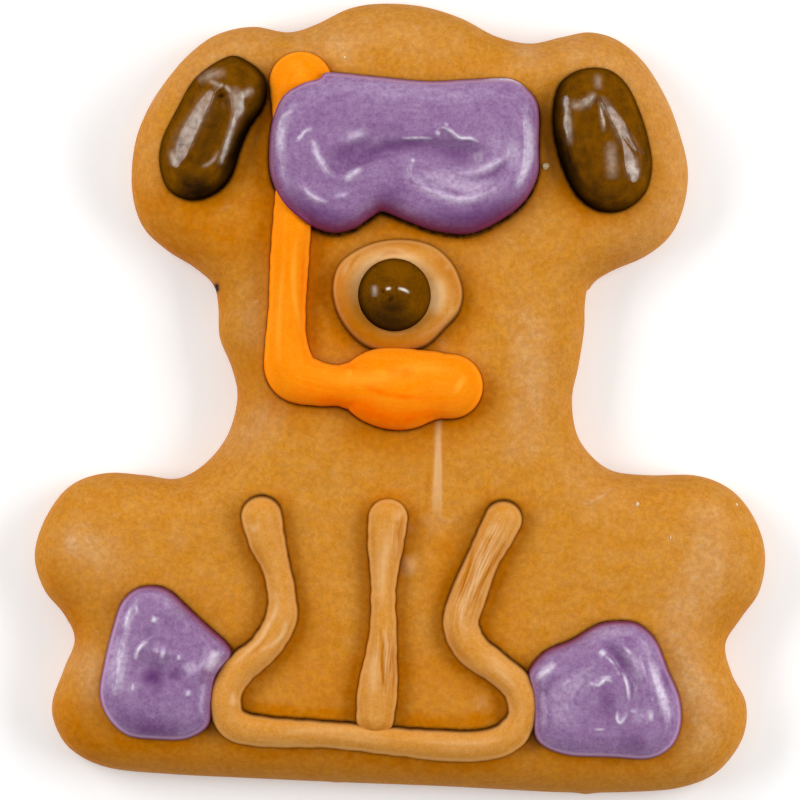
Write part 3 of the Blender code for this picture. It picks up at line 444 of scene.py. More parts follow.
FLIPPER_RIGHT_CRISP = [
    [(27.7, -33.7, 0.3, 0.6, 0.1), (28.15, -35.2, 0.35, 0.9, 0.35), (28.4, -36.5, 0.35, 0.9, 0.35),
     (28.3, -37.6, 0.3, 0.6, 0.1)],
    [(25.0, -32.9, 0.4, 0.5, 0.08), (23.0, -34.0, 1.2, 0.5, 0.25), (21.4, -35.0, 1.4, 0.5, 0.25),
     (19.6, -36.3, 0.8, 0.4, 0.05)],
]
FLIPPER_RIGHT_FACETS = [
    [(30.6, -31.2, 1.0, 0.6, 0.02), (31.2, -33.4, 1.3, 0.6, 0.2), (31.9, -35.8, 1.4, 0.6, 0.22),
     (32.6, -38.2, 1.4, 0.6, 0.2), (32.9, -40.6, 1.2, 0.6, 0.04)],
]

# Thin crests and scores that fade out at both ends: points, half width, height
EAR_LEFT_LINES = [
    ([(-27.8, 31.3), (-26.9, 32.2)], 0.12, -0.08), ([(-19.1, 36.7), (-18.5, 36.5)], 0.25, -0.25),
]
EAR_RIGHT_LINES = [([(27.6, 33.4), (28.7, 31.8), (29.9, 30.4)], 0.2, -0.09)]
MASK_LINES = [
    ([(5.2, 34.1), (6.4, 33.5), (7.4, 32.65), (8.8, 32.6), (9.8, 32.1)], 0.16, 0.22),
    ([(5.3, 34.7), (6.0, 34.2), (6.8, 33.9)], 0.14, 0.12), ([(4.5, 33.5), (5.0, 33.2)], 0.18, 0.14),
    ([(-0.1, 32.6), (2.2, 32.7), (4.4, 32.6)], 0.18, 0.16),
    ([(-12.9, 32.0), (-12.1, 33.2), (-10.8, 34.0)], 0.22, 0.2), ([(1.3, 30.2), (1.9, 29.7)], 0.22, 0.1),
    ([(2.6, 28.2), (3.6, 27.6), (4.4, 26.9)], 0.25, 0.12), ([(4.0, 28.0), (4.9, 27.5)], 0.22, 0.12),
    ([(3.4, 28.9), (4.2, 28.6)], 0.2, 0.1), ([(5.2, 27.6), (6.4, 27.0)], 0.2, 0.1),
    ([(10.4, 34.4), (10.9, 33.6), (10.6, 32.8)], 0.2, 0.1),
    ([(-8.4, 25.4), (-7.0, 25.3), (-6.2, 25.9)], 0.22, 0.12),
    ([(11.2, 31.0), (12.0, 31.4), (12.4, 32.6)], 0.25, 0.08),
    ([(-3.2, 35.4), (-1.8, 35.7), (-0.6, 35.4)], 0.2, 0.08),
]
MUZZLE_LINES = [
    ([(-6.7, 16.2), (-5.6, 17.9), (-4.0, 19.0)], 0.16, -0.14),
    ([(-3.2, 7.9), (0.4, 7.7), (3.9, 8.9), (6.0, 11.4)], 0.25, -0.1),
    ([(-6.6, 9.6), (-5.0, 8.6), (-3.2, 8.1)], 0.25, 0.08), ([(5.7, 17.0), (6.2, 16.2)], 0.3, 0.1),
]
NOSE_LINES = [([(-2.3, 14.1), (-2.0, 13.2), (-1.7, 12.9)], 0.18, -0.1)]
FLIPPER_LEFT_LINES = [
    ([(-33.6, -25.6), (-34.0, -27.1), (-34.5, -28.8)], 0.2, 0.16),
    ([(-32.8, -25.3), (-32.9, -27.0)], 0.18, 0.14), ([(-30.9, -27.9), (-30.3, -27.0)], 0.3, 0.18),
    ([(-27.2, -29.2), (-26.4, -28.7)], 0.22, 0.12), ([(-27.6, -31.6), (-27.6, -32.7)], 0.2, 0.16),
    ([(-33.3, -36.5), (-33.3, -35.3)], 0.16, 0.14), ([(-26.6, -37.2), (-26.2, -36.0)], 0.22, 0.14),
    ([(-32.1, -37.9), (-31.3, -37.4)], 0.22, 0.12), ([(-34.4, -30.4), (-34.6, -32.2)], 0.2, 0.1),
    ([(-35.2, -33.8), (-35.3, -35.8)], 0.22, 0.12), ([(-29.4, -36.4), (-28.2, -37.4)], 0.3, 0.08),
    ([(-28.6, -34.4), (-27.0, -35.8)], 0.3, -0.12), ([(-27.9, -38.7), (-26.4, -39.3)], 0.3, 0.08),
    ([(-31.0, -39.4), (-30.4, -40.4)], 0.25, 0.1),
]
FLIPPER_RIGHT_LINES = [
    ([(27.7, -33.9), (28.3, -35.4), (28.5, -37.4)], 0.14, 0.18),
    ([(24.9, -31.3), (25.4, -31.9)], 0.25, 0.2), ([(25.4, -31.8), (26.8, -33.0)], 0.16, 0.14),
    ([(23.6, -35.3), (24.7, -35.6), (25.6, -34.9), (26.6, -35.2)], 0.16, 0.2),
    ([(24.9, -34.6), (25.8, -34.4), (26.6, -34.8)], 0.16, 0.12),
    ([(27.2, -38.6), (27.0, -40.0), (27.7, -40.2), (28.3, -38.9)], 0.16, 0.18),
    ([(27.8, -30.7), (28.9, -31.8)], 0.22, 0.14), ([(24.2, -41.1), (25.6, -41.1)], 0.18, 0.1),
    ([(22.2, -34.9), (21.2, -36.2)], 0.2, 0.1), ([(20.4, -36.4), (20.0, -37.8), (20.9, -38.6)], 0.18, 0.12),
    ([(18.9, -36.6), (19.6, -37.9)], 0.18, 0.1), ([(21.7, -37.0), (22.4, -38.2)], 0.18, 0.1),
    ([(19.4, -39.0), (20.2, -40.3)], 0.2, 0.1), ([(21.5, -39.2), (21.2, -40.4)], 0.18, 0.1),
    ([(18.4, -38.6), (18.7, -39.8)], 0.2, 0.1), ([(28.7, -38.8), (29.5, -38.9)], 0.2, 0.1),
    ([(28.5, -40.2), (29.5, -40.1)], 0.2, 0.1), ([(31.2, -38.4), (31.3, -40.4)], 0.25, 0.12),
    ([(30.1, -36.7), (30.4, -37.4)], 0.22, 0.1), ([(31.2, -37.0), (31.4, -37.8)], 0.22, 0.1),
    ([(17.0, -35.2), (18.0, -34.2), (19.4, -33.0)], 0.3, 0.14),
]

# Paler, deeper and glinting streaks of the icing: points, half width, strength. The pale ones are partly
# paler icing and partly painted light, sheen and highlight on the upper and lit sides; the deep ones partly
# deeper icing and partly painted shade on the lower and shaded sides and in hollows; the glinting ones are
# painted highlights.
# Painted sheen on the ear's top and painted highlight beside its left crest
EAR_LEFT_PALE = [
    ([(-20.6, 41.4), (-22.6, 39.8)], 1.2, 0.6), ([(-24.4, 38.6), (-26.8, 34.4), (-28.4, 30.4)], 0.7, 0.4),
]
# Painted shade in the ear's groove and pit, on its right flank, at its lower end and in a small slit
EAR_LEFT_DEEP = [
    ([(-22.4, 37.8), (-23.0, 34.6), (-24.2, 31.4), (-25.4, 28.6)], 0.8, 0.5),
    ([(-18.0, 36.4), (-19.8, 32.8), (-21.4, 29.6), (-22.6, 27.6)], 0.8, 0.9),
    ([(-23.0, 26.6), (-25.6, 26.6), (-28.2, 27.4)], 1.6, 1.0), ([(-22.4, 38.3), (-22.2, 37.6)], 0.5, 0.9),
    ([(-28.0, 31.2), (-27.0, 32.2)], 0.2, 0.8),
]
EAR_LEFT_GLINTS = [
    ([(-25.2, 39.6), (-23.8, 40.5), (-21.6, 40.9)], 0.5, 0.3), ([(-24.0, 40.0), (-22.4, 39.2)], 0.3, 0.3),
    ([(-22.7, 39.0), (-22.0, 39.4)], 0.2, 0.6), ([(-21.9, 39.3), (-21.0, 38.3)], 0.22, 0.6),
    ([(-28.5, 31.4), (-28.2, 29.2)], 0.4, 0.4),
    ([(-21.2, 38.6), (-20.5, 37.8), (-20.3, 36.6), (-20.4, 35.4)], 0.6, 0.45),
    ([(-21.2, 38.0), (-19.8, 38.0), (-18.2, 38.8)], 0.4, 0.5),
    ([(-20.4, 36.4), (-21.0, 34.0), (-21.7, 31.6), (-22.6, 29.2)], 0.35, 0.35),
    ([(-22.5, 31.2), (-23.4, 29.8), (-24.8, 29.0)], 0.2, 0.35),
    ([(-23.6, 38.4), (-25.4, 35.0), (-27.6, 31.0)], 0.8, 0.2),
]
# Painted sheen on the ear's top, and a paler patch lower down
EAR_RIGHT_PALE = [([(22.6, 39.6), (24.8, 40.2)], 1.2, 0.6), ([(23.0, 33.0), (23.6, 31.0)], 1.3, 0.5)]
# Painted shade in the ear's groove, on its left flank and lower end, and along its right edge
EAR_RIGHT_DEEP = [
    ([(22.4, 34.6), (22.8, 31.6), (23.8, 28.0)], 0.7, 0.35),
    ([(22.4, 27.0), (25.4, 25.4), (28.6, 25.8)], 1.2, 0.6),
    ([(20.2, 34.6), (20.8, 30.0), (22.4, 27.0), (24.8, 25.4)], 1.0, 0.9),
    ([(30.4, 33.0), (30.9, 29.0)], 0.5, 0.5),
]
EAR_RIGHT_GLINTS = [
    ([(26.3, 32.4), (26.5, 27.4)], 0.6, 0.32), ([(24.7, 40.8), (24.7, 38.6)], 0.4, 0.25),
    ([(24.4, 38.4), (23.5, 37.3), (22.3, 36.7), (21.0, 37.0)], 0.45, 0.4),
    ([(28.9, 30.4), (29.2, 27.4)], 0.6, 0.4), ([(20.6, 37.8), (21.0, 35.0), (21.2, 31.6)], 0.35, 0.35),
    ([(25.2, 37.8), (26.6, 35.0), (28.0, 31.6)], 0.5, 0.2), ([(25.0, 37.4), (25.4, 33.4)], 0.25, 0.3),
    ([(24.3, 38.2), (23.2, 36.9)], 0.25, 0.4),
]
# Painted light on the nose's upper part and its right side
NOSE_PALE = [([(-2.6, 15.6), (-0.6, 16.3), (1.6, 15.4)], 1.2, 0.6), ([(1.6, 12.4), (1.0, 10.6)], 0.8, 0.3)]
# Painted shade on the nose's lower half and left side, and in its dents
NOSE_DEEP = [
    ([(-3.9, 13.0), (-3.0, 11.0), (-1.4, 9.9), (0.6, 9.8), (2.2, 11.2)], 1.4, 0.9),
    ([(-1.5, 12.8), (-0.8, 12.3)], 0.6, 1.0), ([(-2.2, 13.9), (-2.1, 13.2)], 0.25, 0.8),
    ([(-3.4, 11.8), (-1.0, 11.4), (1.4, 11.4)], 1.2, 0.9), ([(-3.9, 13.2), (-3.8, 11.4)], 0.5, 0.5),
    ([(-2.4, 15.2), (-1.2, 14.8)], 0.3, 0.3),
]
NOSE_GLINTS = [
    ([(-0.3, 13.95), (0.6, 13.7), (1.2, 13.3)], 0.14, 1.0), ([(-1.8, 13.8), (-1.1, 13.95)], 0.14, 0.8),
    ([(-3.2, 14.4), (-3.15, 12.8)], 0.3, 0.3),
]
# Pale marbling along the swirls, painted light along the mask's upper side and painted highlights at its
# edges
MASK_PALE = [
    ([(1.3, 30.2), (1.2, 28.1), (2.3, 27.0), (3.6, 26.1), (5.4, 25.4), (7.4, 25.0), (9.0, 25.1),
      (10.6, 25.7), (12.4, 26.7), (13.6, 28.0)], 0.6, 0.9),
    ([(2.4, 28.2), (4.2, 27.6), (6.2, 27.3), (9.0, 26.6), (12.0, 27.6)], 1.0, 0.85),
    ([(5.6, 28.8), (7.5, 28.4), (10.0, 28.6), (11.6, 29.3), (13.1, 30.4), (13.5, 31.6)], 0.7, 0.7),
    ([(10.9, 31.0), (12.0, 32.0), (12.2, 33.6)], 1.0, 0.35),
    ([(-11.0, 32.6), (-10.4, 31.0), (-9.8, 29.6), (-9.0, 28.5), (-8.1, 27.7)], 0.45, 0.8),
    ([(-7.2, 27.3), (-6.0, 28.1), (-4.5, 29.1)], 0.5, 0.9),
    ([(-7.6, 32.2), (-5.7, 32.9), (-3.8, 33.6)], 0.6, 0.6),
    ([(-12.3, 27.0), (-11.3, 25.7), (-10.2, 25.0), (-8.8, 24.7)], 0.4, 0.7),
    ([(-8.3, 25.3), (-6.3, 25.8)], 0.45, 0.6),
    ([(-12.0, 39.0), (-6.0, 39.2), (0.0, 38.6), (6.0, 38.2), (13.0, 38.6)], 1.5, 0.2),
    ([(15.9, 35.2), (16.3, 32.0), (15.9, 29.4), (14.8, 27.0)], 0.8, 0.5),
    ([(-15.0, 34.6), (-15.3, 31.4)], 0.5, 0.35),
]
# Deeper icing and painted shade in the valley and grooves, and painted shade along the mask's lower side
MASK_DEEP = [
    ([(-9.6, 29.2), (-7.4, 28.9), (-5.4, 29.9), (-3.0, 31.0), (-0.4, 31.8), (2.6, 32.1),
      (5.4, 31.6)], 1.0, 0.7),
    ([(-10.0, 30.6), (-7.4, 30.4), (-5.4, 31.4), (-2.6, 32.6)], 1.3, 0.55),
    ([(2.6, 31.6), (6.4, 30.8), (10.6, 30.4)], 1.4, 0.6),
    ([(8.2, 27.4), (11.1, 28.0), (12.8, 29.1), (14.0, 30.6)], 0.4, 0.6),
    ([(-2.4, 27.0), (-1.0, 25.2), (1.0, 24.6)], 2.2, 0.5),
    ([(2.6, 23.8), (5.4, 22.8), (9.0, 22.6), (13.0, 24.0), (15.6, 26.0)], 1.5, 0.8),
    ([(-14.0, 26.4), (-12.4, 24.2), (-9.0, 22.6), (-5.0, 22.8)], 1.3, 0.7),
    ([(1.0, 34.2), (-3.0, 34.0), (-8.0, 34.4)], 0.9, 0.25),
    ([(5.4, 30.6), (7.6, 29.9), (9.8, 30.2)], 1.0, 0.5),
]
MASK_GLINTS = [
    ([(5.1, 34.0), (6.3, 33.5), (7.4, 32.65), (8.8, 32.6), (9.8, 32.05)], 0.2, 1.0),
    ([(4.4, 33.45), (5.0, 33.15)], 0.22, 0.9), ([(0.1, 32.6), (2.3, 32.65), (4.2, 32.6)], 0.15, 0.7),
    ([(10.4, 40.0), (13.3, 40.05), (14.8, 39.6), (16.4, 38.7)], 0.13, 0.6),
    ([(-13.0, 32.1), (-12.3, 32.9), (-11.8, 33.5), (-10.8, 33.9)], 0.2, 0.7),
    ([(1.3, 29.9), (1.9, 29.9)], 0.22, 0.6),
    ([(-15.4, 31.0), (-15.1, 33.4), (-14.6, 35.4), (-13.2, 36.3)], 0.22, 0.5),
    ([(5.5, 34.4), (6.1, 34.2)], 0.2, 0.4),
    ([(-12.0, 26.5), (-11.3, 25.7), (-10.2, 25.0), (-9.2, 24.8)], 0.2, 0.6),
    ([(-7.0, 27.4), (-4.8, 28.9)], 0.3, 0.6),
    ([(15.7, 35.6), (16.1, 33.5), (16.1, 31.3), (15.8, 29.4), (15.0, 27.6), (14.2, 26.3)], 0.5, 0.5),
    ([(-14.7, 35.2), (-15.0, 32.6), (-15.2, 30.2)], 0.4, 0.4),
    ([(13.6, 33.0), (14.4, 30.6), (13.8, 28.6)], 0.8, 0.25),
    ([(-10.9, 32.6), (-10.2, 30.4), (-9.2, 28.8)], 0.3, 0.4),
    ([(3.0, 26.4), (5.4, 25.4), (8.4, 25.0), (11.4, 26.2)], 0.3, 0.35),
    ([(9.6, 28.6), (11.6, 29.3), (13.1, 30.4)], 0.3, 0.35), ([(-6.6, 32.6), (-4.4, 33.4)], 0.5, 0.25),
]
# Pale patches, with painted highlights at the flipper's right tip and along its left side
FLIPPER_LEFT_PALE = [
    ([(-34.8, -29.2), (-35.4, -33.0), (-35.2, -36.8)], 1.1, 0.6),
    ([(-34.0, -26.0), (-34.4, -28.6)], 0.5, 0.6), ([(-30.0, -31.6), (-29.2, -31.7)], 0.7, 0.8),
    ([(-26.6, -32.6), (-25.6, -34.4)], 0.9, 0.6),
    ([(-24.0, -33.8), (-23.2, -32.4), (-22.6, -31.4)], 0.9, 0.9),
    ([(-33.0, -32.4), (-32.5, -31.0), (-31.4, -30.0)], 0.3, 0.7),
    ([(-30.9, -27.6), (-30.3, -27.2)], 0.45, 0.6), ([(-33.2, -34.6), (-33.4, -37.0)], 0.9, 0.35),
    ([(-31.0, -24.6), (-28.6, -25.0), (-25.6, -28.6)], 1.2, 0.3),
    ([(-26.6, -37.0), (-26.2, -36.2)], 0.4, 0.6),
]
# Painted shade in the flipper's hollows and along its lower side, and deeper patches
FLIPPER_LEFT_DEEP = [
    ([(-31.8, -33.2), (-30.6, -34.6), (-29.0, -35.0)], 1.7, 0.9),
    ([(-28.6, -33.4), (-27.6, -35.2)], 1.2, 0.6),
    ([(-35.4, -38.6), (-33.4, -40.4), (-28.0, -40.8)], 0.9, 0.5),
    ([(-29.0, -25.6), (-26.6, -28.0)], 1.4, 0.3),
    ([(-35.0, -40.0), (-31.0, -41.0), (-27.0, -41.0)], 1.3, 0.6),
    ([(-32.2, -28.6), (-30.4, -29.0)], 0.8, 0.3),
]
FLIPPER_LEFT_GLINTS = [
    ([(-33.6, -25.8), (-33.95, -27.1), (-34.4, -28.7)], 0.22, 0.7),
    ([(-32.9, -25.4), (-32.8, -26.8)], 0.2, 0.6),
    ([(-31.3, -30.1), (-32.5, -30.9), (-33.0, -32.4)], 0.17, 0.9),
    ([(-30.8, -27.8), (-30.4, -27.0)], 0.35, 0.6), ([(-27.6, -31.7), (-27.6, -32.5)], 0.2, 0.7),
    ([(-33.3, -35.3), (-33.3, -36.3)], 0.14, 0.7), ([(-26.6, -37.0), (-26.2, -36.2)], 0.2, 0.6),
    ([(-29.9, -31.5), (-29.3, -31.8)], 0.5, 0.4),
    ([(-24.2, -33.8), (-23.4, -32.4), (-22.8, -31.2)], 0.55, 0.55),
    ([(-34.3, -29.4), (-34.9, -33.4), (-34.7, -37.2)], 0.8, 0.22),
    ([(-26.8, -32.6), (-25.8, -34.0)], 0.6, 0.2),
]
# Pale wrinkled patches, with painted highlights along the flipper's right edge and at its upper left
FLIPPER_RIGHT_PALE = [
    ([(24.6, -33.4), (22.6, -34.8), (20.4, -36.4), (18.6, -38.4)], 1.2, 0.6),
    ([(17.2, -34.8), (18.4, -33.8), (19.6, -32.8)], 0.6, 0.9),
    ([(31.2, -32.2), (32.0, -34.6), (32.9, -37.2), (33.5, -39.8)], 0.55, 0.9),
    ([(28.2, -31.2), (29.6, -33.0), (30.2, -35.0)], 0.7, 0.6),
    ([(23.6, -35.4), (25.6, -34.9), (26.6, -35.1)], 0.45, 0.7), ([(28.8, -39.6), (31.4, -39.4)], 0.9, 0.45),
    ([(21.4, -29.9), (25.6, -28.6), (29.6, -28.9)], 1.0, 0.35), ([(20.6, -36.8), (20.0, -41.0)], 1.3, 0.45),
    ([(25.0, -31.4), (25.5, -31.9)], 0.45, 0.8), ([(27.1, -38.8), (27.4, -40.2), (28.2, -39.0)], 0.3, 0.6),
]
# Painted shade in the flipper's groove and hollow and along its lower and right edges, and a deeper patch
FLIPPER_RIGHT_DEEP = [
    ([(25.8, -30.6), (27.2, -32.4), (28.3, -34.6)], 0.7, 0.7), ([(24.6, -37.6), (27.0, -37.4)], 1.6, 0.5),
    ([(27.0, -42.6), (31.0, -42.8)], 1.4, 0.45), ([(32.6, -33.4), (33.8, -36.8)], 0.4, 0.5),
    ([(18.6, -36.2), (17.6, -36.6)], 0.6, 0.5),
]
FLIPPER_RIGHT_GLINTS = [
    ([(27.7, -33.9), (28.3, -35.4), (28.5, -37.4)], 0.16, 1.0), ([(24.9, -31.2), (25.6, -31.9)], 0.3, 0.8),
    ([(25.6, -31.9), (26.8, -33.0)], 0.14, 0.6),
    ([(27.1, -38.6), (27.1, -40.0), (27.7, -40.2), (28.3, -38.9)], 0.14, 0.7),
    ([(23.5, -35.3), (24.7, -35.6), (25.6, -34.9), (26.6, -35.2)], 0.18, 0.9),
    ([(24.9, -34.6), (26.4, -34.6)], 0.14, 0.7), ([(27.8, -30.7), (28.9, -31.8)], 0.2, 0.6),
    ([(24.2, -41.1), (25.6, -41.1)], 0.14, 0.6), ([(28.7, -38.8), (29.5, -38.9)], 0.2, 0.5),
    ([(31.2, -38.6), (31.3, -40.2)], 0.3, 0.5), ([(16.8, -35.0), (17.9, -34.2), (19.4, -32.9)], 0.35, 0.5),
    ([(31.3, -32.6), (32.4, -36.6), (33.3, -39.8)], 0.45, 0.45),
]
# Painted light round the nose, where the nose shades the muzzle, and painted highlights on its upper left and
# right
MUZZLE_PALE = [
    ([(-6.2, 12.6), (-5.8, 15.6), (-4.2, 17.6), (-2.0, 18.6), (0.6, 18.6)], 0.8, 0.4),
    ([(-5.7, 11.6), (-5.8, 13.6), (-4.4, 16.5), (-0.7, 18.1), (2.9, 16.6), (4.2, 14.6)], 0.7, 1.2),
    ([(4.2, 15.6), (4.7, 13.2), (4.2, 10.4)], 1.0, 1.3),
    ([(-4.6, 10.0), (-1.0, 8.2), (2.8, 9.6)], 0.4, 0.35), ([(5.6, 16.8), (6.2, 16.2)], 0.35, 0.7),
    ([(1.6, 7.6), (4.6, 9.0), (6.8, 11.6)], 0.35, 0.5), ([(-7.4, 15.4), (-6.4, 17.0)], 0.35, 0.5),
]
# Painted shade on the muzzle's left and lower sides and in its grooves
MUZZLE_DEEP = [
    ([(-6.8, 15.4), (-5.6, 17.6), (-4.0, 18.8)], 0.25, 0.6),
    ([(-2.8, 17.8), (-1.2, 18.4), (0.8, 18.2)], 0.35, 0.6),
    ([(-6.6, 17.6), (-7.3, 14.6), (-6.9, 11.6), (-5.2, 9.0), (-2.4, 7.4), (0.8, 7.2), (3.8, 8.4),
      (6.4, 11.0)], 1.9, 1.0),
    ([(-5.2, 12.0), (-4.2, 9.8), (-1.4, 8.6), (1.4, 8.9), (3.6, 10.6)], 0.6, 0.8),
    ([(-4.6, 15.2), (-2.8, 17.0), (0.0, 17.8)], 0.3, 0.6),
    ([(2.8, 18.4), (5.4, 16.6), (7.0, 14.0), (6.8, 10.8)], 0.9, 0.7),
    ([(-5.8, 17.6), (-2.6, 19.5), (1.6, 19.5), (4.8, 17.8)], 0.7, 0.6),
]
LEG_PALE = [
    ([(13.3, -15.3), (12.0, -17.5), (10.8, -19.6), (9.8, -21.5), (8.9, -23.4), (8.1, -25.4), (7.8, -27.4),
      (8.4, -30.2)], 0.35, 0.9),
    ([(10.4, -17.2), (9.4, -21.4), (8.6, -23.7)], 0.3, 0.7), ([(12.2, -15.0), (11.2, -17.4)], 0.6, 0.5),
    ([(-15.6, -23.3), (-15.4, -26.0), (-16.4, -28.0), (-17.6, -30.0), (-19.3, -31.6),
      (-21.2, -33.3)], 0.3, 0.9),
    ([(-14.1, -27.2), (-14.7, -29.3), (-16.0, -30.5), (-17.6, -31.3)], 0.3, 0.8),
    ([(-18.3, -15.4), (-18.1, -16.6)], 0.5, 0.5), ([(-20.9, -36.4), (-20.7, -38.4)], 0.4, 0.7),
    ([(-16.0, -41.0), (-9.0, -41.4), (-1.0, -42.2)], 0.6, 0.3),
    ([(2.0, -42.6), (9.0, -42.8), (13.0, -41.8)], 0.6, 0.3),
    ([(10.0, -31.4), (12.6, -33.6), (14.4, -36.2)], 0.8, 0.4),
]
LEG_DEEP = [
    ([(9.5, -16.8), (8.7, -20.5), (7.9, -23.0), (7.2, -25.0)], 0.22, 0.8),
    ([(13.4, -17.0), (12.1, -19.6), (11.3, -20.9), (10.3, -22.7), (9.3, -24.7), (8.6, -26.4)], 0.25, 0.8),
    ([(11.6, -16.4), (10.9, -18.2), (10.0, -20.4)], 0.15, 0.5),
    ([(-18.7, -17.0), (-17.8, -19.6), (-16.6, -21.6)], 0.5, 0.5),
    ([(6.0, -28.4), (7.0, -31.0), (9.4, -33.0)], 0.5, 0.5),
    ([(-16.2, -29.0), (-17.6, -30.8), (-19.4, -32.2)], 0.2, 0.5),
]
DIVIDER_PALE = [
    ([(-2.0, -28.6), (-1.6, -31.0), (-1.8, -34.2)], 0.25, 0.9),
    ([(-2.9, -31.0), (-3.4, -34.0), (-3.2, -37.0)], 0.7, 0.6),
    ([(-1.0, -15.0), (-1.6, -18.0), (-2.2, -22.0), (-2.2, -26.0)], 0.6, 0.6),
    ([(0.2, -13.6), (-0.4, -15.2)], 0.4, 0.6),
]
DIVIDER_DEEP = [
    ([(-2.6, -28.0), (-2.2, -30.2), (-2.3, -32.2), (-2.1, -34.8), (-1.5, -37.2)], 0.2, 0.9),
    ([(0.5, -14.2), (-0.1, -16.4), (0.1, -18.8), (-0.8, -20.4)], 0.25, 0.7),
    ([(-1.0, -29.0), (-0.8, -33.0), (-0.9, -37.0)], 0.35, 0.6),
    ([(-5.0, -39.8), (-3.0, -41.6), (-1.2, -40.0)], 0.5, 0.6), ([(-3.9, -15.6), (-3.6, -18.4)], 0.4, 0.35),
]
# Painted highlights along the tube and the mouthpiece, and paler streaks
SNORKEL_PALE = [
    ([(-12.9, 20.4), (-13.3, 16.9), (-13.2, 13.1), (-12.3, 8.3)], 0.3, 0.8),
    ([(-14.6, 17.6), (-14.9, 13.1), (-15.2, 8.3), (-15.2, 4.2)], 0.35, 0.6),
    ([(-9.4, 2.6), (-3.2, 2.7), (1.0, 3.9), (5.8, 3.9), (7.4, 2.6)], 0.7, 0.5),
    ([(6.9, 2.2), (7.9, 1.6)], 1.0, 0.9), ([(-6.8, 3.2), (-5.8, 3.3)], 0.6, 0.6),
    ([(-13.6, 40.6), (-11.6, 41.4)], 0.9, 0.3),
]
# Painted shade on the lower side of the mouthpiece and the bend, and deeper streaks
SNORKEL_DEEP = [
    ([(-5.6, 2.1), (-2.2, 0.9), (1.7, 0.3), (4.4, 0.7)], 0.4, 0.7),
    ([(-14.0, 1.4), (-9.6, 0.0), (-6.0, -0.8), (-1.0, -2.4), (4.4, -1.6), (7.4, 0.4)], 1.5, 1.0),
    ([(-4.0, -2.6), (-1.6, -3.8), (1.4, -3.6)], 1.2, 1.0),
    ([(-17.2, 14.0), (-17.6, 6.0), (-16.0, 2.4)], 0.6, 0.6), ([(-12.0, 20.0), (-12.2, 8.0)], 0.35, 0.5),
    ([(-2.0, 3.6), (2.0, 3.4)], 0.5, 0.4), ([(-8.0, 4.4), (-5.0, 4.0)], 0.4, 0.4),
]
# Where the dark icing is glossy: chains of x, y, radius, strength
EAR_LEFT_GLOSS = [
    [(-22.8, 39.1, 0.35, 1.0), (-23.3, 38.5, 0.5, 1.0), (-24.1, 37.3, 0.7, 1.0), (-25.1, 35.8, 0.9, 1.0),
     (-26.4, 33.8, 1.3, 1.0), (-27.2, 32.2, 1.4, 1.0), (-27.8, 30.6, 1.1, 1.0), (-28.0, 29.5, 0.5, 1.0)],
    [(-21.5, 38.9, 0.3, 1.0), (-20.4, 38.3, 0.8, 1.0), (-20.3, 37.0, 0.8, 1.0), (-20.15, 36.0, 0.7, 1.0),
     (-20.5, 34.7, 0.6, 1.0), (-20.95, 33.5, 0.45, 1.0), (-21.5, 32.3, 0.38, 1.0),
     (-22.0, 30.8, 0.36, 1.0), (-22.4, 29.8, 0.3, 1.0)],
    [(-22.7, 30.6, 0.22, 1.0), (-23.5, 29.7, 0.3, 1.0), (-24.3, 29.2, 0.22, 1.0)],
    [(-22.1, 36.9, 0.3, 0.8), (-22.0, 36.6, 0.3, 0.8)],
]
EAR_RIGHT_GLOSS = [
    [(25.3, 37.6, 0.35, 1.0), (26.1, 36.1, 0.55, 1.0), (27.1, 34.8, 0.65, 1.0), (27.9, 33.4, 0.65, 1.0),
     (28.4, 31.9, 0.65, 1.0), (28.7, 30.4, 0.9, 1.0), (28.9, 29.0, 1.1, 1.0), (29.1, 27.9, 0.7, 1.0)],
    [(28.5, 33.2, 0.4, 1.0), (29.4, 31.8, 0.35, 1.0), (30.2, 30.8, 0.25, 1.0)],
    [(24.8, 37.8, 0.2, 1.0), (25.0, 36.3, 0.27, 1.0), (25.3, 34.8, 0.27, 1.0), (25.4, 33.4, 0.2, 1.0)],
    [(24.2, 38.1, 0.25, 1.0), (23.5, 37.3, 0.6, 1.0), (22.7, 36.7, 0.6, 1.0), (21.8, 37.3, 0.5, 0.8)],
    [(20.6, 37.6, 0.4, 1.0), (21.0, 36.1, 0.42, 1.0), (20.8, 34.6, 0.42, 1.0), (21.1, 32.9, 0.3, 0.8)],
]
NOSE_GLOSS = [
    [(0.1, 13.85, 0.22, 1.0), (0.7, 13.65, 0.22, 1.0)], [(-1.5, 13.9, 0.22, 1.0), (-1.2, 13.95, 0.22, 1.0)],
    [(-3.2, 13.95, 0.38, 0.9), (-3.15, 13.2, 0.38, 0.9)],
]


def curve_between(before, start, end, after, share):
    """A point on the Catmull-Rom curve from start to end."""
    return 0.5 * (2 * start + (end - before) * share
                  + (2 * before - 5 * start + 4 * end - after) * share ** 2
                  + (3 * start - before - 3 * end + after) * share ** 3)


def even_steps(curve, step, closed):
    """The same curve with points an even step apart."""
    if closed:
        curve = np.vstack([curve, curve[:1]])
    lengths = np.linalg.norm(np.diff(curve[:, :2], axis=0), axis=1)
    travelled = np.concatenate([[0.0], np.cumsum(lengths)])
    count = max(2, round(travelled[-1] / step))
    marks = np.linspace(0.0, travelled[-1], count + 1)
    if closed:
        marks = marks[:-1]
    return np.stack([np.interp(marks, travelled, column) for column in curve.T], axis=1)


def smooth_loop(points, step):
    """A closed curve through the points."""
    points = np.array(points, dtype=float)
    count = len(points)
    curve = [
        curve_between(points[i - 1], points[i], points[(i + 1) % count], points[(i + 2) % count], share)
        for i in range(count)
        for share in CURVE_SHARES
    ]
    return even_steps(np.array(curve), step, closed=True)


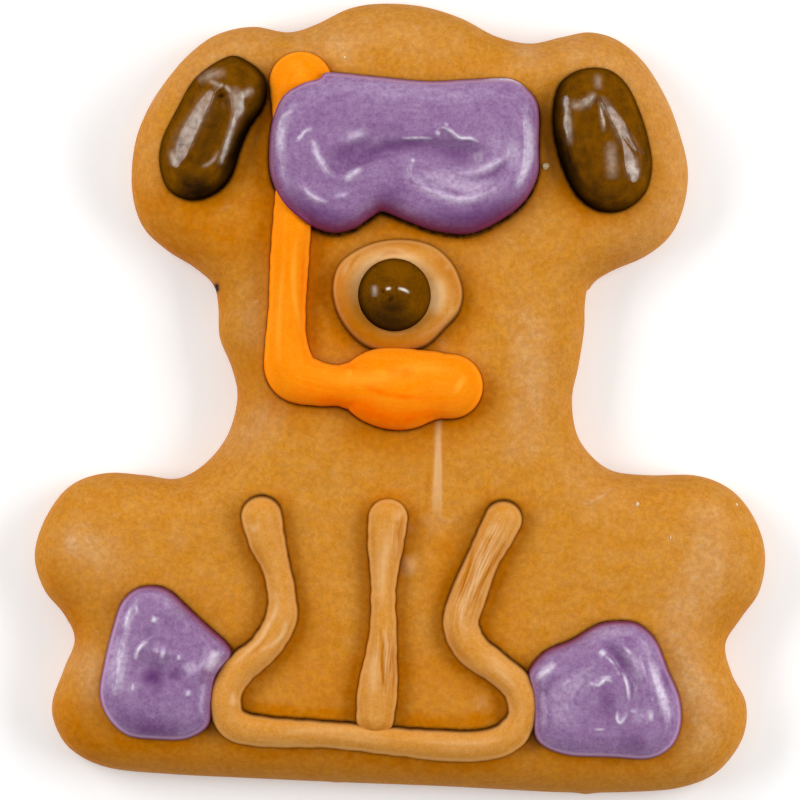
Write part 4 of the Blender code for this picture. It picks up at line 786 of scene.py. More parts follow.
def smooth_path(points, step):
    """An open curve through the points."""
    points = np.array(points, dtype=float)
    points = np.vstack([2 * points[0] - points[1], points, 2 * points[-1] - points[-2]])
    curve = [
        curve_between(*points[i - 1:i + 3], share)
        for i in range(1, len(points) - 2)
        for share in CURVE_SHARES
    ]
    return even_steps(np.array(curve + [points[-2]]), step, closed=False)


def in_chunks(places):
    """The places in groups that keep the arrays of distances small."""
    return np.array_split(places, max(1, len(places) // CHUNK))


def nearest_points(places, points):
    """Index of the nearest of the points to each place."""
    tree = KDTree(len(points))
    for i, (x, y) in enumerate(points):
        tree.insert((x, y, 0.0), i)
    tree.balance()
    return np.array([tree.find((x, y, 0.0))[1] for x, y in places], dtype=int)


def nearest_on_line(places, line, closed):
    """Distance to a line, side of it from -1 on the right to 1 on the left, and share of its length."""
    count = len(line)
    nearest = nearest_points(places, line)
    found = None
    for step in (-1, 0):
        start = nearest + step
        end = start + 1
        if closed:
            start, end = start % count, end % count
        else:
            start, end = np.clip(start, 0, count - 2), np.clip(end, 1, count - 1)
        run = line[end] - line[start]
        length = np.linalg.norm(run, axis=1)
        offset = places - line[start]
        share = np.clip((offset * run).sum(axis=1) / length ** 2, 0.0, 1.0)
        miss = offset - share[:, None] * run
        distance = np.linalg.norm(miss, axis=1)
        side = (run[:, 0] * miss[:, 1] - run[:, 1] * miss[:, 0]) / length / np.maximum(distance, 1e-9)
        new = np.stack([distance, side, (start + share) / (count if closed else count - 1)])
        found = new if found is None else np.where(new[0] < found[0], new, found)
    return found


def smooth_step(share):
    """Smooth rise from 0 to 1."""
    share = np.clip(share, 0.0, 1.0)
    return share ** 2 * (3 - 2 * share)


def depth_inside(places, loop):
    """Distance from the loop, blended farther in so that no ridge runs along the middle."""
    exact = nearest_on_line(places, loop, closed=True)[0]
    coarse = even_steps(loop, BLEND_STEP, closed=True)
    step = np.linalg.norm(coarse[1] - coarse[0])
    pull = np.concatenate([
        (1.0 / np.maximum(((some[:, None, :] - coarse) ** 2).sum(axis=2), 0.01) ** 2).sum(axis=1)
        for some in in_chunks(places)
    ])
    blended = (2 / math.pi * step * pull) ** (-1 / 3)
    return exact + (blended - exact) * smooth_step(exact / BLEND_DEPTH)


def is_inside(places, loop):
    """Which places lie inside the loop, by counting the sides that a ray towards +X crosses."""
    ends = np.roll(loop, -1, axis=0)
    rise = np.where(ends[:, 1] == loop[:, 1], 1.0, ends[:, 1] - loop[:, 1])
    slope = (ends[:, 0] - loop[:, 0]) / rise
    found = []
    for some in in_chunks(places):
        x, y = some[:, :1], some[:, 1:]
        spans = (loop[:, 1] > y) != (ends[:, 1] > y)
        found.append((spans & (x < loop[:, 0] + (y - loop[:, 1]) * slope)).sum(axis=1) % 2 == 1)
    return np.concatenate(found)


def inward(loop):
    """Unit directions from a clockwise loop towards its inside."""
    along = np.roll(loop, -1, axis=0) - np.roll(loop, 1, axis=0)
    along /= np.linalg.norm(along, axis=1)[:, None]
    return np.stack([along[:, 1], -along[:, 0]], axis=1)


def grid_inside(loop, step, margin):
    """Staggered grid places inside the loop, at least the margin away from it."""
    low = loop.min(axis=0)
    high = loop.max(axis=0)
    rows = np.arange(low[1] + step / 2, high[1], step * math.sqrt(3) / 2)
    places = np.array([
        (x, y)
        for row, y in enumerate(rows)
        for x in np.arange(low[0] + (row % 2) * step / 2, high[0], step)
    ])
    places = places[is_inside(places, loop)]
    return places[nearest_on_line(places, loop, closed=True)[0] > margin]


def rings_inside(loop, offsets):
    """Places at the given distances inside the loop, left out where they would crowd together."""
    rings = []
    for offset in offsets:
        places = loop + inward(loop) * offset
        clear = nearest_on_line(places, loop, closed=True)[0] > RING_CLEARANCE * offset
        rings.append(places[clear & is_inside(places, loop)])
    return np.vstack(rings)


def spread_out(places, least):
    """Keeps at most one place in each square of the given size."""
    squares = np.floor(places / least).astype(int)
    kept = np.unique(squares, axis=0, return_index=True)[1]
    return places[np.sort(kept)]


def clear_of(places, others, least):
    """Which places are farther from every other place than the least distance."""
    gaps = np.linalg.norm(places - others[nearest_points(places, others)], axis=1)
    return gaps > least


def rounded(distance, width):
    """Quarter round from 0 at the edge to 1 at the width."""
    share = 1.0 - np.clip(distance / width, 0.0, 1.0)
    return np.sqrt(1.0 - share ** 2)


def eased(distance, width):
    """Gentle slope from 0 at the edge to 1 at the width."""
    return 1.0 - (1.0 - np.clip(distance / width, 0.0, 1.0)) ** 2


def bell(distance, width):
    """Bell curve that is 1 in the middle."""
    return np.exp(-(distance / width) ** 2)


def cusp(distance, width):
    """Sharp crest that is 1 in the middle and eases out to 0 at the width."""
    return (1.0 - np.clip(distance / width, 0.0, 1.0)) ** 2


def tent(distance, width):
    """Straight slopes from 1 in the middle down to 0 at the width, with a rounded crest."""
    return np.clip(1.06 - np.sqrt((distance / width) ** 2 + 0.0036), 0.0, 1.0)


def circle(centre, radius, count):
    """Points of a circle, clockwise."""
    turns = np.linspace(0.0, -2 * math.pi, count, endpoint=False)
    return [(centre[0] + radius * math.cos(turn), centre[1] + radius * math.sin(turn)) for turn in turns]


def unevenness(places, height, size, seed):
    """Smooth random bumps of about the given height, up and down, and size."""
    draw = np.random.default_rng(seed)
    count = 14
    total = np.zeros(len(places))
    for _ in range(count):
        turn, start = draw.uniform(0.0, 2 * math.pi, 2)
        pace = 2 * math.pi / (size * draw.uniform(1.5, 3.5))
        total += np.sin(pace * (places[:, 0] * math.cos(turn) + places[:, 1] * math.sin(turn)) + start)
    return height * total / math.sqrt(2 * count)


def ribs_height(places, ribs, section):
    """Sum of ridges and grooves whose widths and height change from station to station."""
    height = np.zeros(len(places))
    for stations in ribs:
        line = smooth_path(stations, FOLD_STEP)
        distance, side, along = nearest_on_line(places, line[:, :2], closed=False)
        marks = np.linspace(0.0, 1.0, len(line))
        left, right, rise = (np.interp(along, marks, line[:, column]) for column in (2, -2, -1))
        height += rise * section(distance, right + (left - right) * (0.5 + 0.5 * side))
    return height


def lines_height(places, lines):
    """Sum of thin crests and scores that fade out at both ends."""
    height = np.zeros(len(places))
    for points, width, depth in lines:
        distance, _, along = nearest_on_line(places, smooth_path(points, FOLD_STEP), closed=False)
        fade = np.clip(np.sin(math.pi * along), 0.0, 1.0) ** FADE_POWER
        height += depth * fade * bell(distance, width)
    return height


def streaks_strength(places, streaks):
    """Strongest of the streaks at each place."""
    strengths = [lines_height(places, [streak]) for streak in streaks]
    return np.max([np.zeros(len(places))] + strengths, axis=0)


def patches_strength(places, patches):
    """Strongest of the soft patches at each place."""
    strengths = [ribs_height(places, [patch], bell) for patch in patches]
    return np.max([np.zeros(len(places))] + strengths, axis=0)


def dots_strength(places, dots):
    """Sum of round soft dots, each with its x, y, radius and strength."""
    return sum(
        share * bell(np.hypot(places[:, 0] - x, places[:, 1] - y), radius)
        for x, y, radius, share in dots
    )


def facing(places, edge, direction):
    """Distance to a clockwise edge, and how far its outer side there faces the direction, from 0 to 1."""
    nearest = nearest_points(places, edge)
    distance = np.linalg.norm(edge[nearest] - places, axis=1)
    turn = -inward(edge)[nearest] @ np.array(direction) / np.linalg.norm(direction)
    return distance, 0.5 + 0.5 * turn


BISCUIT_LOOP = smooth_loop(BISCUIT_OUTLINE, BISCUIT_STEP)
BISCUIT_LOOP += OUTLINE_INSET * inward(BISCUIT_LOOP)


def dough_top(places):
    """Height of the biscuit's upper surface without its fine marks."""
    depth = depth_inside(places, BISCUIT_LOOP)
    share = 1.0 - np.clip(depth / SHOULDER_WIDTH, 0.0, 1.0)
    height = SIDE_LINE + SHOULDER_RISE * np.sqrt(1.0 - share ** SHOULDER_POWER)
    height += CROWN_RISE * eased(depth, CROWN_WIDTH)
    uneven = dots_strength(places, DOUGH_SWELLS) + unevenness(places, *DOUGH_BUMPS, seed=3)
    return height + eased(depth, SHOULDER_WIDTH) * uneven


def coating_top(places):
    """Height of the coated face with its runs, cracks and burst bubbles."""
    marks = lines_height(places, COATING_LINES) - dots_strength(places, BUBBLES)
    return dough_top(places) + marks + unevenness(places, *COATING_BUMPS, seed=5)


class Stroke:
    """Icing piped in one go: a middle line with half widths, a height along it and lengthwise grooves."""

    def __init__(self, stations, rise, groove, seed, rough=()):
        self.path = smooth_path(stations, FINE_STEP)
        self.path[:, 2] += unevenness(self.path[:, :2], *STROKE_WAVER, seed=seed + 50)
        self.rise = rise
        self.groove = groove
        self.seed = seed
        self.rough = rough

    def reach(self, places):
        """Distance from the middle as a share of the half width, the nearest station and the side."""
        shares, nearest = [], []
        for some in in_chunks(places):
            ways = np.linalg.norm(some[:, None, :] - self.path[None, :, :2], axis=2) / self.path[:, 2]
            nearest.append(ways.argmin(axis=1))
            shares.append(ways[np.arange(len(some)), nearest[-1]])
        shares, nearest = np.concatenate(shares), np.concatenate(nearest)
        run = np.gradient(self.path[:, :2], axis=0)[nearest]
        off = places - self.path[nearest, :2]
        side = np.sign(run[:, 0] * off[:, 1] - run[:, 1] * off[:, 0])
        return shares, nearest, side

    def across(self, places):
        """Distance from the middle, negative on the right of the way along."""
        share, nearest, side = self.reach(places)
        return share * side * self.path[nearest, 2]

    def height(self, places):
        """Height above the surface that carries the stroke."""
        share, nearest, side = self.reach(places)
        round_section = np.sqrt(np.clip(1 - share ** 2, 0.0, 1.0))
        lanes = np.stack([nearest * FINE_STEP * GROOVE_PACE, share * side * self.path[nearest, 2]], axis=1)
        groove = self.groove * (GROOVE_SHARE + streaks_strength(places, self.rough)) * round_section
        own = self.rise(self.path[nearest]) * (FOOT_SHARE + (1 - FOOT_SHARE) * round_section)
        return own + unevenness(lanes, groove, GROOVE_WIDTH, self.seed)

    def top(self, places):
        """Height of the stroke's surface above the biscuit, or nothing outside its edge."""
        share = self.reach(places)[0]
        return np.where(share < 1.0, LIFT + self.height(places), 0.0)

    def bridge(self, places):
        """How high icing that crosses the stroke stays above the biscuit."""
        share, nearest, _ = self.reach(places)
        away = smooth_step((share - BRIDGE_START) / (BRIDGE_END - BRIDGE_START))
        return self.rise(self.path[nearest]) * (1 - away)

    def edge(self, step):
        """Outline of the stroke, clockwise."""
        path = even_steps(self.path, step, closed=False)
        middle = path[:, :2]
        along = np.gradient(middle, axis=0)
        along /= np.linalg.norm(along, axis=1)[:, None]
        across = np.stack([-along[:, 1], along[:, 0]], axis=1) * path[:, 2:]
        end = self.cap(middle[-1], along[-1] * path[-1, 2], across[-1], step)
        start = self.cap(middle[0], -along[0] * path[0, 2], -across[0], step)
        loop = np.vstack([middle + across, end, (middle - across)[::-1], start])
        loop = loop[self.reach(loop)[0] > STROKE_CLEARANCE]
        return self.snap(even_steps(loop, step, closed=True))

    def cap(self, middle, ahead, across, step):
        """Round end of the stroke, without the two points where it meets the sides."""
        count = max(4, round(math.pi * np.linalg.norm(across) / step))
        turns = np.linspace(0.0, math.pi, count + 1)[1:-1]
        return np.array([middle + math.cos(turn) * across + math.sin(turn) * ahead for turn in turns])

    def snap(self, loop):
        """Moves the loop onto the true edge of the stroke."""
        for _ in range(3):
            share, nearest, _ = self.reach(loop)
            middles = self.path[nearest, :2]
            loop = middles + (loop - middles) / share[:, None]
        return loop


class Blob:
    """A flooded patch of icing with a round shoulder, a crown, folds and fine lines."""

    def __init__(self, outline, section, soft, crisp, facets, lines, seed, flow_centre=None):
        self.outline = outline
        self.loop = smooth_loop(outline, 2 * ICING_STEP)
        self.shoulder_width, self.shoulder_rise, self.crown_width, self.crown_rise = section
        self.folds = ((soft, bell), (crisp, cusp), (facets, tent))
        self.lines = lines
        self.seed = seed
        self.flow_centre = flow_centre

    def across(self, places):
        """Distance from the outline or from the centre of the flow, which the marbling follows."""
        if self.flow_centre:
            return np.linalg.norm(places - self.flow_centre, axis=1)
        return depth_inside(places, self.loop)

    def height(self, places):
        """Height above the surface that carries the patch."""
        depth = depth_inside(places, self.loop)
        shoulder = FOOT_SHARE + (1 - FOOT_SHARE) * rounded(depth, self.shoulder_width)
        height = self.shoulder_rise * shoulder + self.crown_rise * eased(depth, self.crown_width)
        relief = lines_height(places, self.lines) + unevenness(places, *FLOODED_BUMPS, seed=self.seed)
        for ribs, section in self.folds:
            relief += ribs_height(places, ribs, section)
        return height + relief * eased(depth, self.shoulder_width)

    def edge(self, step):
        """Outline of the patch, clockwise."""
        return smooth_loop(self.outline, step)


def snorkel_rise(stations):
    """The snorkel is lower where the mask lies on it, and a little higher at the mouthpiece."""
    y = stations[:, 1]
    sunk = np.clip((y - MASK_LOW_EDGE) / SINK_LOW, 0.0, 1.0)
    sunk *= np.clip((MASK_HIGH_EDGE - y) / SINK_HIGH, 0.0, 1.0)
    wide = (stations[:, 2] - TUBE_HALF_WIDTH) / (MOUTHPIECE_HALF_WIDTH - TUBE_HALF_WIDTH)
    wide = np.clip(wide, 0.0, 1.0) * (y < MASK_LOW_EDGE)
    return SNORKEL_RISE + MOUTHPIECE_RISE * wide - (SNORKEL_RISE - SNORKEL_RISE_UNDER_MASK) * sunk


def piping_rise(stations):
    """Wider places of the piping are a little higher."""
    return PIPING_RISE + PIPING_RISE_PER_WIDTH * (stations[:, 2] - PIPING_HALF_WIDTH)


shapes = {
    "ear_left": Blob(
        EAR_LEFT, EAR_SECTION, EAR_LEFT_SOFT, EAR_LEFT_CRISP, EAR_LEFT_FACETS, EAR_LEFT_LINES, seed=22,
    ),
    "ear_right": Blob(
        EAR_RIGHT, EAR_SECTION, EAR_RIGHT_SOFT, [], EAR_RIGHT_FACETS, EAR_RIGHT_LINES, seed=23,
    ),
    "snorkel": Stroke(SNORKEL, snorkel_rise, groove=0.04, seed=11),
    "mask": Blob(MASK, MASK_SECTION, MASK_SOFT, MASK_CRISP, MASK_FACETS, MASK_LINES, seed=24),
    "muzzle": Blob(
        MUZZLE, MUZZLE_SECTION, MUZZLE_SOFT, MUZZLE_CRISP, [], MUZZLE_LINES, seed=21,
        flow_centre=NOSE_CENTRE,
    ),
    "nose": Blob(
        circle(NOSE_CENTRE, NOSE_RADIUS, NOSE_POINTS), NOSE_SECTION, NOSE_SOFT, [], NOSE_FACETS, NOSE_LINES,
        seed=25,
    ),
    "leg_piping": Stroke(LEG_PIPING, piping_rise, groove=0.09, seed=12, rough=LEG_ROUGH),
    "leg_divider": Stroke(LEG_DIVIDER, piping_rise, groove=0.09, seed=13, rough=DIVIDER_ROUGH),
    "flipper_left": Blob(
        FLIPPER_LEFT, FLIPPER_SECTION, FLIPPER_LEFT_SOFT, FLIPPER_LEFT_CRISP, FLIPPER_LEFT_FACETS,
        FLIPPER_LEFT_LINES, seed=26,
    ),
    "flipper_right": Blob(
        FLIPPER_RIGHT, FLIPPER_SECTION, FLIPPER_RIGHT_SOFT, FLIPPER_RIGHT_CRISP, FLIPPER_RIGHT_FACETS,
        FLIPPER_RIGHT_LINES, seed=27,
    ),
}
shapes_on_dough = {name: shape for name, shape in shapes.items() if name != "nose"}


def muzzle_top(places):
    """Height of the muzzle's upper surface."""
    return dough_top(places) + LIFT + shapes["muzzle"].height(places)


def triangles_inside(loop, inner):
    """Triangles over the loop and its inner places."""
    places = [tuple(place) for place in np.vstack([loop, inner])]
    found = delaunay_2d_cdt(places, [], [list(range(len(loop)))], 1, 1e-7)
    if len(found[0]) != len(places):
        raise ValueError("two outline points coincide or its sides cross")
    return [tuple(face) for face in found[2]]


def add_piece(name, mesh):
    """An object in the scene from a finished mesh."""
    data = bpy.data.meshes.new(name)
    mesh.to_mesh(data)
    mesh.free()
    piece = bpy.data.objects.new(name, data)
    bpy.context.scene.collection.objects.link(piece)
    return piece


def closed_piece(name, rings, top_inner, top_heights, under_inner, under_heights):
    """A closed mesh of one top sheet, side bands from ring to ring and one under sheet.

    rings holds (loop, heights) from the top sheet's edge down to the under sheet's edge.
    """
    mesh = bmesh.new()

    def add(places, heights):
        return [mesh.verts.new((x * MM, y * MM, z * MM)) for (x, y), z in zip(places, heights)]

    bands = [add(loop, heights) for loop, heights in rings]
    top = bands[0] + add(top_inner, top_heights)
    under = bands[-1] + add(under_inner, under_heights)
    for face in triangles_inside(rings[0][0], top_inner):
        mesh.faces.new([top[i] for i in face])
    for face in triangles_inside(rings[-1][0], under_inner):
        mesh.faces.new([under[i] for i in reversed(face)])
    for upper, lower in zip(bands, bands[1:]):
        for i in range(len(upper)):
            after = (i + 1) % len(upper)
            mesh.faces.new((upper[i], upper[after], lower[after], lower[i]))
    bmesh.ops.recalc_face_normals(mesh, faces=mesh.faces)
    piece = add_piece(name, mesh)
    piece.data.shade_smooth()
    return piece


def plan(piece):
    """Places in plan of a piece's mesh points."""
    points = np.empty(3 * len(piece.data.vertices))
    piece.data.vertices.foreach_get("co", points)
    return points.reshape(-1, 3)[:, :2] / MM


def paint(piece, **layers):
    """Writes values for each mesh point, which the finish reads by their labels."""
    for label, values in layers.items():
        layer = piece.data.attributes.new(label, "FLOAT", "POINT")
        layer.data.foreach_set("value", np.asarray(values, dtype=np.float32))


def wear(piece, node, finish):
    """Puts the piece in the place of its node, with its finish."""
    piece.data.materials.append(finish)
    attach(piece, "root")
    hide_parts(node)


def foot_rings(loop):
    """Loops down the biscuit's side and round its foot, with the drips at the lower edge."""
    directions = inward(loop)
    drips = sum(
        out * bell(loop[:, 0] - x, width) * (directions[:, 1] > 0.5)
        for x, width, out in FOOT_DRIPS
    )
    rings = []
    for band in range(FOOT_BANDS + 1):
        turn = 0.5 * math.pi * band / FOOT_BANDS
        out = drips * math.cos(turn) * min(1.0, 2.0 * band / FOOT_BANDS)
        places = loop + directions * np.reshape(FOOT_ROUND * (1 - math.cos(turn)) - out, (-1, 1))
        rings.append((places, np.full(len(loop), SIDE_LINE * (1 - math.sin(turn)))))
    return rings


def icing_rows(loop):
    """Rows of places along the icing's edges."""
    rows = []
    for shape in shapes_on_dough.values():
        edge = shape.edge(0.9 * BISCUIT_STEP)
        rows += [edge - inward(edge) * offset for offset in CREASE_ROWS]
    rows = spread_out(np.vstack(rows), ROW_GAP)
    return rows[is_inside(rows, loop)]


def mark_rows(loop):
    """Rows of places along the marks in the coating."""
    rows = []
    for points, width, _ in COATING_LINES:
        line = smooth_path(points, MARK_STEP)
        along = np.gradient(line, axis=0)
        across = np.stack([-along[:, 1], along[:, 0]], axis=1) / np.linalg.norm(along, axis=1)[:, None]
        rows += [line + across * width * share for share in MARK_ROWS]
    for x, y, radius, _ in BUBBLES:
        rows += [np.array(circle((x, y), radius * share, 10)) for share in BUBBLE_ROWS]
    rows = spread_out(np.vstack(rows), MARK_GAP)
    return rows[is_inside(rows, loop)]


def face_places(loop):
    """Mesh places of the biscuit's face, crowded along the icing's edges and along its marks."""
    shoulder = rings_inside(loop, SHOULDER_WIDTH * (1 - np.cos(ARC_TURNS)))
    rows = icing_rows(loop)
    marks = mark_rows(loop)
    grid = grid_inside(loop, BISCUIT_STEP, SHOULDER_WIDTH)
    gap = 0.75 * BISCUIT_STEP
    grid = grid[clear_of(grid, marks, gap) & clear_of(grid, rows, gap)]
    rows = rows[clear_of(rows, marks, MARK_GAP)]
    return np.vstack([spread_out(np.vstack([shoulder, marks, rows]), FACE_GAP), grid])


def crease_and_halo(places, depth):
    """Painted shade: the dark line beside the icing and in burst bubbles, and the richer colour round it,
    each 0 to 1.
    """
    sheltered = smooth_step((depth - HALO_START) / HALO_WIDTH)
    crease = dots_strength(places, [(x, y, radius, 1.0) for x, y, radius, _ in BUBBLES])
    halo = np.zeros(len(places))
    for name, shape in shapes_on_dough.items():
        edge = shape.edge(EDGE_STEP)
        distance, below = facing(places, edge, (0.0, -1.0))
        dark = facing(places, edge, SHADE[name][0])[1]
        spread, strength = CREASE_SPREAD, 1.0
        if name == "mask":
            spread, strength = MASK_CREASE_SPREAD, MASK_CREASE_STRENGTH
        strength *= CREASE_LEAST + (1.0 - CREASE_LEAST) * dark
        crease = np.maximum(crease, strength * bell(distance, CREASE_WIDTH + spread * dark ** 2))
        beside = 1.0
        if name not in ("leg_piping", "leg_divider"):
            beside = smooth_step((below - HALO_TURN_START) / HALO_TURN_WIDTH)
        halo = np.maximum(halo, bell(distance, HALO_REACH) * beside * np.maximum(below ** 2, sheltered))
    return crease.clip(0.0, 1.0), halo


def biscuit(finish):
    """The coated biscuit."""
    rings = foot_rings(BISCUIT_LOOP)
    inner = face_places(BISCUIT_LOOP)
    foot = rings[-1][0]
    back = grid_inside(foot, BACK_STEP, 0.6 * BACK_STEP)
    dents = (BACK_DENT + unevenness(back, BACK_DENT, BACK_DENT_SIZE, seed=6)).clip(0.0, 2 * BACK_DENT)
    back_heights = dents * eased(nearest_on_line(back, foot, closed=True)[0], BACK_DENT_WIDTH)
    piece = closed_piece("coated_biscuit", rings, inner, coating_top(inner), back, back_heights)
    places = plan(piece)
    depth, thin_side = facing(places, BISCUIT_LOOP, THIN_SIDE)
    crease, halo = crease_and_halo(places, depth)
    # Painted shade beside and round the icing, in broad patches and on the shoulder; painted sheen; pale
    # marks that are partly painted highlight; a painted highlight along the crack below the mouthpiece
    paint(
        piece, crease=crease, halo=halo, pale=streaks_strength(places, COATING_BLOOM),
        sheen=patches_strength(places, COATING_SHEEN), worn=patches_strength(places, COATING_DEEP),
        thin=bell(depth, THIN_WIDTH) * thin_side ** 2, rim=bell(depth, RIM_WIDTH),
        cream=streaks_strength(places, COATING_CREAM),
    )
    wear(piece, "biscuit", finish)


def paint_icing(piece, name, loop, streaks, gloss, runs_into):
    """Paints a piece of icing: painted shade at its foot, a painted highlight in the pale line above it,
    gloss, streaks and flow.
    """
    places = plan(piece)
    shape = shapes[name]
    dark_side, shade = SHADE[name]
    depth, dark = facing(places, loop, dark_side)
    shown = 1.0
    if runs_into:
        shown = smooth_step((runs_into.reach(places)[0] - MERGE_START) / MERGE_WIDTH)
    glossy = smooth_step((depth - GLOSS_START) / GLOSS_WIDTH)
    if gloss:
        glossy = smooth_step((patches_strength(places, gloss) - GLOSS_LEVEL) / GLOSS_SOFTNESS)
    shade *= SHADE_LEAST + (1.0 - SHADE_LEAST) * dark ** 2
    # The foot is painted shade, widest and darkest on the shaded side; the pale line inside the edge is a
    # painted highlight, fainter on that side.
    paint(
        piece, across=shape.across(places), gloss=glossy,
        foot=shown * bell(depth, shade) * (0.5 + 0.5 * dark),
        edge=shown * bell(depth - RIDGE_DEPTH, RIDGE_WIDTH) * (1.0 - 0.5 * dark),
    )
    for label, lines in zip(("pale", "deep", "glint"), streaks):
        paint(piece, **{label: streaks_strength(places, lines)})
    if isinstance(shape, Stroke):
        paint(piece, rough=streaks_strength(places, shape.rough))


def icing(name, finish, streaks, gloss=None, crossed=None, carrier=dough_top, runs_in=False):
    """A piece of icing set on its carrier, which may cross a stroke or run into it.

    streaks are the pale, the deep and the bright ones. Without gloss patches it is glossy except at its foot.
    """
    shape = shapes[name]
    stroke = shapes[crossed] if crossed else None

    def top(places):
        ground = carrier(places)
        own = shape.height(places)
        height = LIFT + own
        if runs_in:
            height = np.maximum(height, stroke.top(places) - MERGE)
        elif stroke:
            height = np.maximum(height, LIFT + stroke.bridge(places) + THIN_SHARE * own)
        return ground + height

    def under(places):
        return carrier(places) + (stroke.top(places) if stroke else 0.0) - SINK

    loop = shape.edge(ICING_STEP)
    grid = grid_inside(loop, ICING_STEP, ICING_RINGS[-1] + 0.5 * ICING_STEP)
    inner = np.vstack([rings_inside(loop, ICING_RINGS), grid])
    rings = [(loop, top(loop))]
    for inset, share in FOOT_RINGS:
        places = loop + inward(loop) * inset
        floor = under(places)
        rings.append((places, floor + share * (rings[0][1] - floor)))
    under_inner = grid_inside(rings[-1][0], UNDER_STEP, 0.5 * UNDER_STEP)
    piece = closed_piece(name + "_icing", rings, inner, top(inner), under_inner, under(under_inner))
    paint_icing(piece, name, loop, streaks, gloss, stroke if runs_in else None)
    wear(piece, name, finish)


def crumbs(finish):
    """Small crumbs of dry coating, each a rough lump with its own shape."""
    draw = np.random.default_rng(41)
    mesh = bmesh.new()
    for x, y, radius in CRUMBS:
        made = bmesh.ops.create_icosphere(mesh, subdivisions=2, radius=radius)
        stretch = draw.uniform(*CRUMB_STRETCH, 3) * CRUMB_FLATNESS
        middle = np.array([x, y, dough_top(np.array([(x, y)]))[0] + CRUMB_SEAT * radius])
        for vertex in made["verts"]:
            lump = 1.0 + draw.uniform(-CRUMB_LUMPS, CRUMB_LUMPS)
            vertex.co = (np.array(vertex.co) * stretch * lump + middle) * MM
    piece = add_piece("crumbs", mesh)
    piece.data.materials.append(finish)
    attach(piece, "root")


def srgb(red, green, blue):
    """A colour as seen on a screen, from 0 to 255, in the linear values that a shader takes."""
    def linear(value):
        value /= 255
        return value / 12.92 if value <= 0.04045 else ((value + 0.055) / 1.055) ** 2.4
    return (linear(red), linear(green), linear(blue), 1.0)


def node(tree, kind, inputs=None, **settings):
    """A shader node with its settings, and its inputs as values or as outputs of other nodes."""
    made = tree.nodes.new(kind)
    for label, value in settings.items():
        setattr(made, label, value)
    for label, value in (inputs or {}).items():
        if isinstance(value, bpy.types.NodeSocket):
            tree.links.new(value, made.inputs[label])
        else:
            made.inputs[label].default_value = value
    return made


def maths(tree, operation, *values):
    """The output of a sum on values or outputs."""
    return node(tree, "ShaderNodeMath", dict(enumerate(values)), operation=operation).outputs[0]


def weighted(tree, *pairs):
    """Sum of outputs, each times its weight."""
    total = 0.0
    for output, weight in pairs:
        total = maths(tree, "MULTIPLY_ADD", output, weight, total)
    return total


def product(tree, first, second):
    """One mask times another."""
    return maths(tree, "MULTIPLY", first, second)


def painted(tree, label):
    """A value painted on the mesh."""
    return node(tree, "ShaderNodeAttribute", attribute_name=label).outputs["Fac"]


def new_group(name, inputs, outputs):
    """An empty node group with its sockets."""
    group = bpy.data.node_groups.new(name, "ShaderNodeTree")
    for label, kind, value in inputs:
        group.interface.new_socket(label, in_out="INPUT", socket_type=kind).default_value = value
    for label, kind in outputs:
        group.interface.new_socket(label, in_out="OUTPUT", socket_type=kind)
    return group, group.nodes.new("NodeGroupInput").outputs, group.nodes.new("NodeGroupOutput").inputs


def millimetres(tree):
    """Place on the piece in millimetres."""
    place = node(tree, "ShaderNodeTexCoord").outputs["Object"]
    return node(tree, "ShaderNodeVectorMath", {0: place, "Scale": 1 / MM}, operation="SCALE").outputs[0]


def soft_mask(tree, noise, softness):
    """Mask of where the noise is above its middle, soft on both sides of it."""
    low = maths(tree, "SUBTRACT", 0.5, softness)
    high = maths(tree, "ADD", 0.5, softness)
    return node(tree, "ShaderNodeMapRange", {"Value": noise, "From Min": low, "From Max": high}).outputs[0]


def mottling_group():
    """Soft patches of the given size in millimetres."""
    group, given, result = new_group(
        "mottling",
        [("Size", "NodeSocketFloat", 4.0), ("Softness", "NodeSocketFloat", 0.15)],
        [("Mask", "NodeSocketFloat")],
    )
    noise = node(group, "ShaderNodeTexNoise", {
        "Vector": millimetres(group), "Scale": maths(group, "DIVIDE", 1.0, given["Size"]), "Detail": 3.0,
    })
    group.links.new(soft_mask(group, noise.outputs["Fac"], given["Softness"]), result["Mask"])
    return group


def streaking_group():
    """Streaks of the given width and length in millimetres that run along the painted flow."""
    group, given, result = new_group(
        "streaking",
        [("Width", "NodeSocketFloat", 0.3), ("Length", "NodeSocketFloat", 6.0),
         ("Softness", "NodeSocketFloat", 0.15)],
        [("Mask", "NodeSocketFloat")],
    )
    parts = node(group, "ShaderNodeSeparateXYZ", {0: millimetres(group)}).outputs
    place = node(group, "ShaderNodeCombineXYZ", {
        "X": maths(group, "DIVIDE", painted(group, "across"), given["Width"]),
        "Y": maths(group, "DIVIDE", parts[0], given["Length"]),
        "Z": maths(group, "DIVIDE", parts[1], given["Length"]),
    }).outputs[0]
    noise = node(group, "ShaderNodeTexNoise", {"Vector": place, "Scale": 1.0, "Detail": 2.0})
    group.links.new(soft_mask(group, noise.outputs["Fac"], given["Softness"]), result["Mask"])
    return group


def tinting_group():
    """A colour drawn towards a paler one and a deeper one by two masks."""
    group, given, result = new_group(
        "tinting",
        [("Colour", "NodeSocketColor", (0.5, 0.5, 0.5, 1.0)),
         ("Pale", "NodeSocketColor", (0.8, 0.8, 0.8, 1.0)), ("Pale mask", "NodeSocketFloat", 0.0),
         ("Deep", "NodeSocketColor", (0.1, 0.1, 0.1, 1.0)), ("Deep mask", "NodeSocketFloat", 0.0)],
        [("Colour", "NodeSocketColor")],
    )
    colour = given["Colour"]
    for label in ("Pale", "Deep"):
        inputs = {0: given[label + " mask"], 6: colour, 7: given[label]}
        colour = node(group, "ShaderNodeMix", inputs, data_type="RGBA", clamp_factor=True).outputs[2]
    group.links.new(colour, result["Colour"])
    return group


